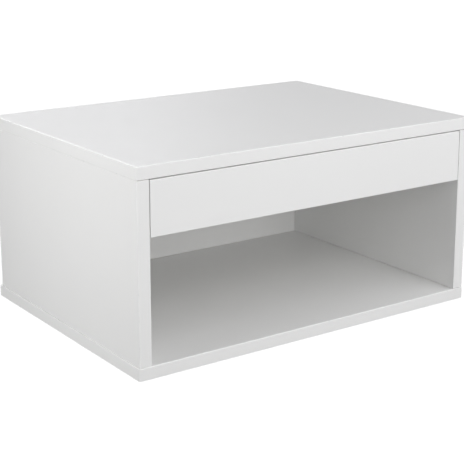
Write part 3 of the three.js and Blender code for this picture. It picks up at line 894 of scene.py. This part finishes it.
def plate_place(side):
    """Where the middle of a keyhole plate lies in X and Z."""
    low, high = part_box(f"{side}_hanger_plate")
    return (low.x + high.x) / 2, (low.z + high.z) / 2


def oblong(name, x, middle_z, radius, y_front, y_rear, material):
    """Cutters for an upright slot with round ends, as long as the keyhole, run along Y."""
    z_low, z_high = middle_z - keyhole_run / 2, middle_z + keyhole_run / 2
    profile = [(radius, 0), (radius, y_rear - y_front)]
    cutters = [block(name, (x - radius, y_front, z_low), (x + radius, y_rear, z_high), material)]
    for z in (z_low, z_high):
        cutters.append(turned(f"{name}_end", profile, material, laid((x, y_front, z), BACKWARD), facets=40))
    return cutters


def back_board():
    low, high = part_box("back_panel")
    low += Vector((joint, 0, joint))
    high -= Vector((joint, 0, joint))
    made = sawn_board("back_board", low, high, 1, [melamine, raw_board], lambda level, part: int(level == 1))
    cutters = holes_for("back_panel", *cabinet_holes)
    pocket_floor, open_air = high.y - pocket_depth, high.y + past_face
    for side in sides:
        place = plate_place(side)
        cutters += oblong(f"{side}_pocket", *place, pocket_radius, pocket_floor, open_air, raw_board)
    carve(made, cutters)
    return seat(made, "cabinet", ["back_panel"])


back_board()

# %% [markdown]
# ## The drawer box
# The drawer front is a banded board like the top. Behind it stand two foil-wrapped sides and a back, whose
# upper edges are rounded where the foil wraps over them, and a thin bottom that slides into grooves from
# behind.

# %% Drawer front and box
foil_radius = 1.5 * MM


def bottom_groove():
    """The room that the thin bottom needs, in the front and in the two sides."""
    low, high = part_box("drawer_bottom")
    grow = Vector((fit, fit, fit))
    return block("groove", low - grow, high + grow + Vector((0, past_face, 0)), raw_board)


front_cutters = [bottom_groove()] + holes_for("drawer_front", *drawer_holes)
banded_board("drawer_front", "drawer", front_cutters, fine_arris)


def wrapped_board(name, holes):
    """A drawer board drawn along its length, with rounded upper edges."""
    low, high, middle, half = measured(name)
    along = 0 if half.x > half.y else 1
    over = 1 - along
    wrap = [(half[over] - aside, high.z - down) for down, aside in rounding(foil_radius)]
    section = [(half[over], low.z)] + wrap
    section += [(-x, z) for x, z in section[::-1]]
    ring_at = lambda end: [set_on((over, along, 2), (middle[over] + x, end, z)) for x, z in section]
    made = skin(name + "_board", [ring_at(low[along]), ring_at(high[along])], [foil, raw_board], caps=(1, 1))
    carve(made, holes)
    return seat(made, "drawer", [name])


for side in sides:
    name = f"{side}_drawer_side"
    wrapped_board(name, [bottom_groove()] + holes_for(name, *drawer_holes))
wrapped_board("drawer_back", holes_for("drawer_back", *drawer_holes))

# %% [markdown]
# The thin bottom shows its lacquered faces above and below and its brown cut edge behind.

# %% Drawer bottom
def drawer_bottom():
    low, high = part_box("drawer_bottom")
    made = sawn_board("drawer_bottom_sheet", low, high, 2, [lacquered, brown_edge], lambda level, part: 1)
    return seat(made, "drawer", ["drawer_bottom"])


drawer_bottom()

# %% [markdown]
# ## Rails of bent steel
# A rail is one strip of steel, bent along its length. Its section is best described as the bender knows it:
# a path down the middle of the sheet, a bend radius and a thickness. From these the outline follows, and
# the rail is that outline drawn out along the slide.

# %% Bent strips
sheet = 1.2 * MM
bend_radius = 1.4 * MM
bend_steps = 5
enamel_edge = 0.2 * MM
rail_gap = 0.1 * MM


def bent_path(corners):
    """A path of straight runs with a round bend at each right-angled corner."""
    corners = [Vector(corner) for corner in corners]
    path = [corners[0]]
    for before, corner, after in zip(corners, corners[1:], corners[2:]):
        back_way = (before - corner).normalized()
        on_way = (after - corner).normalized()
        centre = corner + (back_way + on_way) * bend_radius
        for step in range(bend_steps + 1):
            angle = math.pi / 2 * step / bend_steps
            path.append(centre - (on_way * math.cos(angle) + back_way * math.sin(angle)) * bend_radius)
    return path + [corners[-1]]


def strip_outline(path):
    """The outline of a sheet whose middle follows a path."""
    left, right = [], []
    for index, point in enumerate(path):
        ahead = path[min(index + 1, len(path) - 1)]
        behind = path[max(index - 1, 0)]
        way = (ahead - behind).normalized()
        aside = Vector((-way.y, way.x)) * sheet / 2
        left.append(point + aside)
        right.append(point - aside)
    return left + right[::-1]


def drawn_rail(name, lower_end, web, upper_end, low, high):
    """A web with a flange at its foot and one at its head, each with its own end in X, drawn out along Y."""
    foot, head = low.z + sheet / 2, high.z - sheet / 2
    outline = strip_outline(bent_path([(lower_end, foot), (web, foot), (web, head), (upper_end, head)]))
    return skin(name, [[(x, y, z) for x, z in outline] for y in (low.y, high.y)], [rail_enamel])


print("bent strips ready")

# %% [markdown]
# The cabinet's rail is a channel that opens towards the drawer. Its upper flange starts behind the front
# roller, a bent end closes it at the rear, and a small tongue hangs from the upper flange and ends the
# drawer's travel. The web has a row of punched holes, as slides for many cabinets do, of which only two are
# used.

# %% Cabinet rails
tongue_drop = 3 * MM
lip_gap = 3 * MM
punched_radius = 2.3 * MM
hole_step = 32 * MM
travel = next(row["range_m"][1] for row in frame["joints"] if row["name"] == "drawer_slide")


def punched_row(web, z, y_start, y_end):
    """Cutters for a row of small holes through a web."""
    profile = [(punched_radius, -past_face), (punched_radius, past_face)]
    cutters = []
    for k in range(int((y_end - y_start) / hole_step)):
        place = laid((web, y_start + hole_step * (k + 0.5), z), (1, 0, 0))
        cutters.append(turned(f"punched_{k}", profile, rail_enamel, place, facets=24))
    return cutters


def cabinet_rail(side, sign):
    low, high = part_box(f"{side}_cabinet_rail")
    outer, inner = (low.x, high.x) if sign < 0 else (high.x, low.x)
    web = outer - sign * sheet / 2
    rail = drawn_rail(f"{side}_cabinet_channel", inner, web, inner, low, high)
    _, _, roller_middle, roller_half = measured(f"{side}_drawer_roller")
    tongue_foot = high.z - sheet - tongue_drop
    rise = tongue_foot - roller_middle.z
    stop_y = roller_middle.y - travel - math.sqrt(roller_half.z**2 - rise**2) - fit
    end_stop = block("end_stop", (outer, high.y - sheet, low.z), (inner, high.y, high.z), rail_enamel)
    tongue = block("tongue", (outer, stop_y - sheet, tongue_foot), (inner, stop_y, high.z), rail_enamel)
    carve(rail, [end_stop, tongue], "UNION")
    lip_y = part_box(f"{side}_cabinet_roller")[1].y + lip_gap
    notch_low = (outer - sign * sheet, low.y - past_face, tongue_foot)
    notch = block("notch", notch_low, (inner - sign * past_face, lip_y, high.z + past_face), rail_enamel)
    first_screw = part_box(f"{side}_cabinet_rail_front_screw")[1].y
    last_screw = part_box(f"{side}_cabinet_rail_rear_screw")[0].y
    carve(rail, [notch] + punched_row(web, (low.z + high.z) / 2, first_screw + hole_step / 2, last_screw))
    soften(rail, enamel_edge)
    return seat(rail, "cabinet", [f"{side}_cabinet_rail"])


for side, sign in sides.items():
    cabinet_rail(side, sign)

# %% [markdown]
# The drawer's rail has a lip under the drawer side, a web up its outer face, and a flange that runs on the
# cabinet's roller. It is the same kind of strip with two bends the other way.

# %% Drawer rails
def drawer_rail(side, sign):
    low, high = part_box(f"{side}_drawer_rail")
    outer, inner = (low.x, high.x) if sign < 0 else (high.x, low.x)
    drawer_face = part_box(f"{side}_drawer_side")[0 if sign < 0 else 1].x
    web = drawer_face + sign * (rail_gap + sheet / 2)
    rail = drawn_rail(f"{side}_drawer_runner", inner, web, outer, low, high)
    carve(rail, punched_row(web, (low.z + high.z) / 2, low.y + 2 * hole_step, high.y - 2 * hole_step))
    soften(rail, enamel_edge)
    return seat(rail, "drawer", [f"{side}_drawer_rail"])


for side, sign in sides.items():
    drawer_rail(side, sign)

# %% [markdown]
# ## Rollers
# A slide's roller is moulded nylon: a tread with rounded shoulders, a hub round the axle, and a thin web
# between them, stiffened by six ribs on each face. All of it is one ring of sections round the axle, and
# the ribs come from letting the web's depth change with the angle. Each roller has a body of its own, so it
# turns in every pose.

# %% Rollers
roller_facets = 72
rib_count = 6
rib_share = 0.2
bore, hub, rim, shoulder = 2.8 * MM, 4.2 * MM, 6.4 * MM, 0.8 * MM
web_depth, rib_depth = 1.3 * MM, 0.4 * MM


def roller_ring(radius, along, rib_along):
    """A circle that stands at one depth between the ribs and at another on them."""
    ring = []
    for facet in range(roller_facets):
        angle = 2 * math.pi * facet / roller_facets
        on_rib = (facet * rib_count / roller_facets) % 1 < rib_share
        ring.append((radius * math.cos(angle), radius * math.sin(angle), rib_along if on_rib else along))
    return ring


def roller(side, sign, holder, body):
    name = f"{side}_{holder}_roller"
    _, _, middle, half = measured(name)
    end, web, rib = half.x, half.x - web_depth, half.x - rib_depth
    face = [(bore, end, end), (hub, end, end), (hub + fit, web, rib), (rim - fit, web, rib), (rim, end, end)]
    upper = face + [(half.z - aside, end - down, end - down) for aside, down in rounding(shoulder, steps=4)]
    profile = upper + [(r, -along, -rib_along) for r, along, rib_along in upper[::-1]]
    made = skin(f"{name}_wheel", [roller_ring(*point) for point in profile], [roller_nylon], hollow=True)
    made.data.transform(laid(middle, (sign, 0, 0)))
    return seat(made, body, [name])


for side, sign in sides.items():
    for holder in ("cabinet", "drawer"):
        roller(side, sign, holder, f"{side}_{holder}_roller")

# %% [markdown]
# ## Repeating a fastener with Geometry Nodes
# Screws of one kind should be modelled once and set out where they belong. A mesh of bare points holds the
# places, with two directions stored on each point. The tree turns a copy of the master to those directions,
# makes the copies real and gives them their finish. A modifier's inputs are set by their identifiers before
# it runs.

# %% Geometry tree helpers
def new_tree(name, extra, sizes=()):
    """A geometry tree with named inputs; gives the tree, the inputs' sockets and their identifiers."""
    tree = bpy.data.node_groups.new(name, "GeometryNodeTree")
    kinds = {"Geometry": "NodeSocketGeometry", "Finish": "NodeSocketMaterial", **extra}
    kinds.update({size: "NodeSocketFloat" for size in sizes})
    keys = {}
    for label, kind in kinds.items():
        keys[label] = tree.interface.new_socket(name=label, in_out="INPUT", socket_type=kind).identifier
    tree.interface.new_socket(name="Geometry", in_out="OUTPUT", socket_type="NodeSocketGeometry")
    return tree, node(tree, "NodeGroupInput").outputs, keys


def end_tree(tree, geometry, material):
    """Make any copies real and give the whole its finish."""
    real = result(tree, "GeometryNodeRealizeInstances", {"Geometry": geometry})
    painted = result(tree, "GeometryNodeSetMaterial", {"Geometry": real, "Material": material})
    node(tree, "NodeGroupOutput", {"Geometry": painted})


print("geometry tree helpers ready")

# %% The tree that sets out copies
def stored(tree, label):
    """The direction that is stored on each point under a name."""
    return result(tree, "GeometryNodeInputNamedAttribute", {"Name": label}, data_type="FLOAT_VECTOR")


def set_out_tree():
    tree, given, keys = new_tree("set_out_copies", {"Master": "NodeSocketObject"})
    axes = {"Primary Axis": stored(tree, "direction"), "Secondary Axis": stored(tree, "across")}
    turn = result(tree, "FunctionNodeAxesToRotation", axes, primary_axis="Z", secondary_axis="Y")
    master = node(tree, "GeometryNodeObjectInfo", {"Object": given["Master"]}).outputs["Geometry"]
    sockets = {"Points": given["Geometry"], "Instance": master, "Rotation": turn}
    end_tree(tree, result(tree, "GeometryNodeInstanceOnPoints", sockets), given["Finish"])
    return tree, keys


copies_tree = set_out_tree()
print("tree:", copies_tree[0].name, "with", len(copies_tree[0].nodes), "nodes")

# %% Running a tree
def grown_mesh(name, points, tree_and_keys, values):
    """Run a geometry tree on bare points, and keep the result as a plain mesh."""
    tree, keys = tree_and_keys
    holder = placed(name, bpy.data.meshes.new(name))
    holder.data.from_pydata([point for point, _, _ in points], [], [])
    for index, label in ((1, "direction"), (2, "across")):
        layer = holder.data.attributes.new(label, "FLOAT_VECTOR", "POINT")
        layer.data.foreach_set("vector", [value for place in points for value in place[index]])
    modifier = holder.modifiers.new(tree.name, "NODES")
    modifier.node_group = tree
    for label, value in values.items():
        modifier[keys[label]] = value
    return settle(holder)


def copied(name, master, points, material):
    """A copy of the master at every point, as one plain mesh; the master is used up."""
    made = grown_mesh(name, points, copies_tree, {"Master": master, "Finish": material})
    bpy.data.objects.remove(master)
    return made


def set_out(name, master, group, material, body):
    """Put a copy of the master at every place of a group of fasteners, as one seated piece."""
    return seat(copied(name, master, group.values(), material), body, list(group))


def shared_length(group):
    """The length of a group's fasteners, where all are alike."""
    name, (_, direction, _) = next(iter(group.items()))
    return length_along(name, direction)


print("copies can be set out")

# %% [markdown]
# ## Screws grown from a rule
# A thread is a rule: at each height and angle the radius is the core's, plus a ridge that climbs one pitch
# with every turn. So the screw's shank starts as a plain cylinder with many rows, and a tree of arithmetic
# moves its points. The head grows the same way from a rule of its own, the two are united, and the driver's
# recess is cut out.

# %% Rods and unions
def grown_rod(tree, facets, rows, low, high, radius_of):
    """A rod from a low to a high level, whose radius is a rule of the level and the place round it."""
    depth = calc(tree, "SUBTRACT", high, low)
    sockets = {"Vertices": facets, "Side Segments": rows, "Radius": 1.0, "Depth": depth}
    rod = result(tree, "GeometryNodeMeshCylinder", sockets, fill_type="NGON")
    place = node(tree, "ShaderNodeSeparateXYZ", {0: result(tree, "GeometryNodeInputPosition")}).outputs
    level = calc(tree, "ADD", place["Z"], calc(tree, "MULTIPLY", calc(tree, "ADD", low, high), 0.5))
    radius = radius_of(level, place)
    sockets = {axis: calc(tree, "MULTIPLY", place[axis], radius) for axis in "XY"}
    moved = result(tree, "ShaderNodeCombineXYZ", {**sockets, "Z": level})
    return result(tree, "GeometryNodeSetPosition", {"Geometry": rod, "Position": moved})


def united(tree, *parts, less=()):
    """Unite parts, and then take some others away."""
    whole = node(tree, "GeometryNodeMeshBoolean", operation="UNION", solver="EXACT")
    cut = node(tree, "GeometryNodeMeshBoolean", operation="DIFFERENCE", solver="EXACT")
    tree.links.new(whole.outputs["Mesh"], cut.inputs["Mesh 1"])
    for step, solids in ((whole, parts), (cut, less)):
        for solid in solids:
            tree.links.new(solid, step.inputs["Mesh 2"])
    return cut.outputs["Mesh"]


print("rods and unions ready")

# %% The thread rule
thread_facets = 20
head_facets, head_rows = 40, 8
valley_share = 0.35
weld = 0.002 * MM


def threaded_rod(tree, given, rows, start):
    """A pointed rod whose thread begins at a start."""
    def thread(along, place):
        turns = calc(tree, "DIVIDE", calc(tree, "ARCTAN2", place["Y"], place["X"]), 2 * math.pi)
        pitches = calc(tree, "DIVIDE", along, given["Pitch"])
        phase = calc(tree, "FRACT", calc(tree, "SUBTRACT", pitches, turns))
        from_crest = calc(tree, "ABSOLUTE", calc(tree, "MULTIPLY_ADD", phase, 2.0, -1.0))
        ridge = ramp(tree, calc(tree, "SUBTRACT", 1.0, from_crest), valley_share, 1.0)
        neck = ramp(tree, along, start, calc(tree, "ADD", start, given["Pitch"]))
        depth = calc(tree, "SUBTRACT", given["Thread radius"], given["Core radius"])
        height = calc(tree, "MULTIPLY", calc(tree, "MULTIPLY", ridge, neck), depth)
        taper = ramp(tree, calc(tree, "SUBTRACT", given["Length"], along), 0.0, given["Point length"])
        return calc(tree, "MULTIPLY", calc(tree, "ADD", given["Core radius"], height), taper)

    rod = grown_rod(tree, thread_facets, rows, 0.0, given["Length"], thread)
    return result(tree, "GeometryNodeMergeByDistance", {"Geometry": rod, "Distance": weld})


def head_part(tree, low, high, radius_of):
    """A rod with more facets and fewer rows, for what stays smooth."""
    return grown_rod(tree, head_facets, head_rows, low, high, radius_of)


print("thread and head rules ready")

# %% [markdown]
# ### Pan screws
# The small screws that hold rails, plates and the drawer back have a low domed head with a cross recess.
# The dome is a flattened curve: the radius shrinks with the fourth power of the height.

# %% Pan screw tree
pan_rows = 110
dome_flattened = 0.85
pan_head_height = 1.4 * MM
pan_sizes = {
    "Pitch": 1.4 * MM, "Core radius": 1.15 * MM, "Thread radius": pan_thread_radius, "Point length": 2.5 * MM,
    "Head radius": 3.5 * MM, "Head height": pan_head_height,
    "Recess length": 3.6 * MM, "Recess width": 0.9 * MM, "Recess depth": 0.8 * MM,
}


def pan_screw_tree():
    tree, given, keys = new_tree("pan_screw", {}, ["Length", *pan_sizes])
    shank = threaded_rod(tree, given, pan_rows, 0.0)
    crown = calc(tree, "MULTIPLY", given["Head height"], -1.0)

    def dome(level, place):
        share = calc(tree, "MULTIPLY", calc(tree, "DIVIDE", level, crown), dome_flattened)
        shrink = calc(tree, "SQRT", calc(tree, "SUBTRACT", 1.0, calc(tree, "POWER", share, 4.0)))
        return calc(tree, "MULTIPLY", given["Head radius"], shrink)

    head = head_part(tree, crown, 0.0, dome)
    bars = []
    lift = result(tree, "ShaderNodeCombineXYZ", {"Z": crown})
    depth = calc(tree, "MULTIPLY", given["Recess depth"], 2.0)
    for x, y in (("Recess length", "Recess width"), ("Recess width", "Recess length")):
        size = result(tree, "ShaderNodeCombineXYZ", {"X": given[x], "Y": given[y], "Z": depth})
        cube = result(tree, "GeometryNodeMeshCube", {"Size": size})
        bars.append(result(tree, "GeometryNodeTransform", {"Geometry": cube, "Translation": lift}))
    end_tree(tree, united(tree, shank, head, less=bars), given["Finish"])
    return tree, keys


pan_tree = pan_screw_tree()
print("tree:", pan_tree[0].name, "with", len(pan_tree[0].nodes), "nodes")

# %% [markdown]
# The screws differ only in length, so a group is split by the length that the frame gives, and each length
# has its own master. The frame's length includes the head; the place is moved on by the head's height, to
# its seat.

# %% Pan screws set out
def screws_set_out(name, group, tree_and_keys, sizes, head_height, body):
    """Grow a master for each length in a group, and set out its copies as one piece."""
    lengths = {}
    for screw, (point, direction, across) in group.items():
        length = round((length_along(screw, direction) - head_height) / MM, 1)
        lengths.setdefault(length, []).append((point + direction * head_height, direction, across))
    whole = bmesh.new()
    for length, points in lengths.items():
        values = {**sizes, "Finish": zinc_plate, "Length": length * MM}
        master = grown_mesh("master", [(Vector(), UP, BACKWARD)], tree_and_keys, values)
        part = copied(name, master, points, zinc_plate)
        whole.from_mesh(part.data)
        bpy.data.objects.remove(part)
        print(name, "length", length, "mm:", len(points))
    return seat(as_object(name, whole, [zinc_plate]), body, list(group))


for body, group in (("cabinet", cabinet_pan_screws), ("drawer", drawer_pan_screws)):
    screws_set_out(f"{body}_pan_screws", group, pan_tree, pan_sizes, pan_head_height, body)

# %% [markdown]
# ### Base screws
# Long screws come up through the bottom board into the sides and the back. Their head is flat and sits just
# inside the board, with a hexagonal socket; below it a smooth shank fills the bottom board, and a deep
# thread follows.

# %% Base screw tree
base_rows = 130
base_sizes = {
    "Pitch": 3 * MM, "Core radius": 2.0 * MM, "Thread radius": base_thread_radius, "Point length": 2 * MM,
    "Head radius": base_head_radius, "Head rim": base_head_rim, "Head depth": base_head_depth,
    "Shank radius": base_shank_radius, "Shank end": board,
    "Socket radius": 2.3 * MM, "Socket depth": 2.5 * MM,
}


def base_screw_tree():
    tree, given, keys = new_tree("base_screw", {}, ["Length", *base_sizes])
    thread = threaded_rod(tree, given, base_rows, given["Shank end"])
    shank = head_part(tree, given["Head rim"], given["Shank end"], lambda level, place: given["Shank radius"])

    def cone(level, place):
        rim_level, foot_level = given["Head rim"], given["Head depth"]
        return ramp(tree, level, rim_level, foot_level, given["Head radius"], given["Shank radius"])

    head = head_part(tree, 0.0, given["Head depth"], cone)
    depth = calc(tree, "MULTIPLY", given["Socket depth"], 2.0)
    sockets = {"Vertices": 6, "Radius": given["Socket radius"], "Depth": depth}
    hexagon = result(tree, "GeometryNodeMeshCylinder", sockets, fill_type="NGON")
    end_tree(tree, united(tree, thread, shank, head, less=[hexagon]), given["Finish"])
    return tree, keys


base_tree = base_screw_tree()
screws_set_out("cabinet_base_screws", base_screws, base_tree, base_sizes, 0.0, "cabinet")

# %% [markdown]
# ## Cam locks and their bolts
# A cam is a short die-cast drum. A bolt reaches into its side, and a quarter turn of the drum draws the
# bolt's head in. The drum is turned, then carved: a room for the bolt, and a cross slot for the driver.

# %% Cam locks
cam_rim = 0.4 * MM
cast_edge = 0.12 * MM
slot_long, slot_wide, slot_deep = 8 * MM, 1.6 * MM, 1.4 * MM
bolt_reach = 2 * MM


def cam_master(length, bolt_level):
    """A cam with its face at the origin; its bolt comes in along +Y."""
    inner = cam_radius - cam_rim
    profile = [(inner, 0), (cam_radius, cam_rim), (cam_radius, length - cam_rim), (inner, length)]
    drum = turned("cam", profile, cast_zinc)
    bars = []
    for x, y in ((slot_long / 2, slot_wide / 2), (slot_wide / 2, slot_long / 2)):
        bars.append(block("slot", (-x, -y, -slot_deep), (x, y, slot_deep), cast_zinc))
    room = [(bolt_radius + fit, -bolt_reach - fit), (bolt_radius + fit, 2 * cam_radius)]
    bars.append(turned("bolt_room", room, cast_zinc, laid((0, 0, bolt_level), BACKWARD, UP), facets=32))
    carve(drum, bars)
    return soften(drum, cast_edge, steps=1)


print("cam master ready")

# %% Cam bolts
bolt_tip, bolt_core, bolt_shank, bolt_neck = 2.2 * MM, 2.3 * MM, 2.5 * MM, 1.75 * MM
bolt_chamfer, bolt_crown = 0.8 * MM, 0.5 * MM
bolt_head_length, bolt_neck_length, bolt_screwed = 3 * MM, 3 * MM, 11 * MM
first_ridge, ridge_pitch, ridge_count = 1.6 * MM, 2.2 * MM, 4
ridge_rises = ((bolt_radius, 0), (bolt_core, 0.7 * MM), (bolt_core, 1.5 * MM), (bolt_radius, 2.1 * MM))


def bolt_master(length):
    """A bolt with its screwed end at the origin: thread, shank, neck and head."""
    head = length - bolt_head_length
    neck = head - bolt_neck_length
    profile = [(bolt_tip, 0), (bolt_radius, bolt_chamfer)]
    for ridge in range(ridge_count):
        profile += [(radius, first_ridge + ridge * ridge_pitch + rise) for radius, rise in ridge_rises]
    profile += [
        (bolt_radius, bolt_screwed), (bolt_shank, bolt_screwed + fit),
        (bolt_shank, neck), (bolt_neck, neck + fit), (bolt_neck, head - fit),
        (bolt_radius, head), (bolt_radius, length - bolt_crown), (bolt_shank, length),
    ]
    return turned("bolt", profile, zinc_plate, facets=32)


drawer_board = 12 * MM
cam_sunk = 0.2 * MM
locks = {"cabinet": (cabinet_cams, cabinet_bolts, board), "drawer": (drawer_cams, drawer_bolts, drawer_board)}
for body, (cams, bolts, thickness) in locks.items():
    drum = cam_master(shared_length(cams), thickness / 2 - cam_sunk)
    set_out(f"{body}_cam_locks", drum, cams, cast_zinc, body)
    bolt = bolt_master(shared_length(bolts))
    set_out(f"{body}_cam_bolts", bolt, bolts, zinc_plate, body)

# %% [markdown]
# ## Dowels and axles
# Dowels are fluted so that glue can escape; the flutes are a ripple of the radius round the axis. An axle
# is a rivet: a domed head, a smooth journal for the roller, a collar, and a tail through the rail.

# %% Dowels
dowel_chamfer = 1 * MM
dowel_facets = 96
flutes, flute_share = 16, 0.05


def dowel_master(length):
    ripple = lambda angle: 1 - flute_share * max(0.0, math.cos(flutes * angle))
    end, full = dowel_radius - dowel_chamfer, dowel_radius
    profile = ((end, 0), (full, dowel_chamfer), (full, length - dowel_chamfer), (end, length))
    return skin("dowel", [circle(radius, along, dowel_facets, ripple) for radius, along in profile], [beech])


set_out("cabinet_dowels", dowel_master(shared_length(dowels)), dowels, beech, "cabinet")

# %% Axles
axle_radius, axle_tip, collar_radius = 2.5 * MM, 2.2 * MM, 4 * MM
axle_head, journal = 0.8 * MM, 5.6 * MM
dome_share, dome_steps = 0.8, 4


def axle_master(length):
    """An axle with the crown of its head at the origin."""
    angles = [math.pi / 2 * step / dome_steps for step in range(1, dome_steps + 1)]
    dome = [(collar_radius * math.sin(a), axle_head * (1 - math.cos(a)) * dome_share) for a in angles]
    tail = length - sheet - rail_gap
    profile = dome + [
        (collar_radius, axle_head), (axle_radius, axle_head), (axle_radius, axle_head + journal),
        (collar_radius, axle_head + journal), (collar_radius, tail), (axle_radius, tail),
        (axle_radius, length - fit), (axle_tip, length),
    ]
    return turned("axle", profile, zinc_plate, facets=40)


for body, group in (("cabinet", cabinet_axles), ("drawer", drawer_axles)):
    set_out(f"{body}_axles", axle_master(shared_length(group)), group, zinc_plate, body)

# %% [markdown]
# ## Keyhole plates
# The cabinet hangs on two zinc-plated steel plates. Each is a rounded rectangle punched with a keyhole,
# whose wide end lets a screw head in and whose narrow end holds it, and with two screw holes. The edges are
# slightly rounded by the punch.

# %% Keyhole plates
plate_corner = 4 * MM
plate_edge = 0.25 * MM
entry_radius = 5.5 * MM
slot_radius = 2.7 * MM


def keyhole_plate(side):
    name = f"{side}_hanger_plate"
    low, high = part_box(name)
    x, z = plate_place(side)
    outline = rounded_rectangle(high.x - x, high.z - z, plate_corner)
    rings = [[(x + a, y, z + b) for a, b in outline] for y in (low.y, high.y)]
    plate = skin(f"{side}_keyhole_plate", rings, [zinc_plate])
    profile = [(entry_radius, -past_face), (entry_radius, past_face)]
    cutters = [turned("entry_hole", profile, zinc_plate, laid((x, low.y, z - keyhole_run / 2), BACKWARD))]
    cutters += oblong("slot", x, z, slot_radius, low.y - past_face, high.y + past_face, zinc_plate)
    plate_hole = hole_maker((pan_thread_radius, 0), material=zinc_plate)
    for level in ("lower", "upper"):
        screw = f"{side}_hanger_{level}_screw"
        cutters.append(plate_hole(screw, cabinet_pan_screws[screw]))
    carve(plate, cutters)
    soften(plate, plate_edge)
    return seat(plate, "cabinet", [name])


for side in sides:
    keyhole_plate(side)

# %% [markdown]
# ## Checking the dressed object
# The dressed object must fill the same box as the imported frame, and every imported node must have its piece.

# %% Size and hand-over
shown_low, shown_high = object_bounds()
triangles = sum(sum(len(face.vertices) - 2 for face in piece.data.polygons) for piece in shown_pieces())
extents = [round(extent / MM, 2) for extent in shown_high - shown_low]
print("dressed size in mm:", extents, "triangles:", triangles)
print("nodes still bare:", [name for name, packed in frame["nodes"].items() if not packed.hide_render])
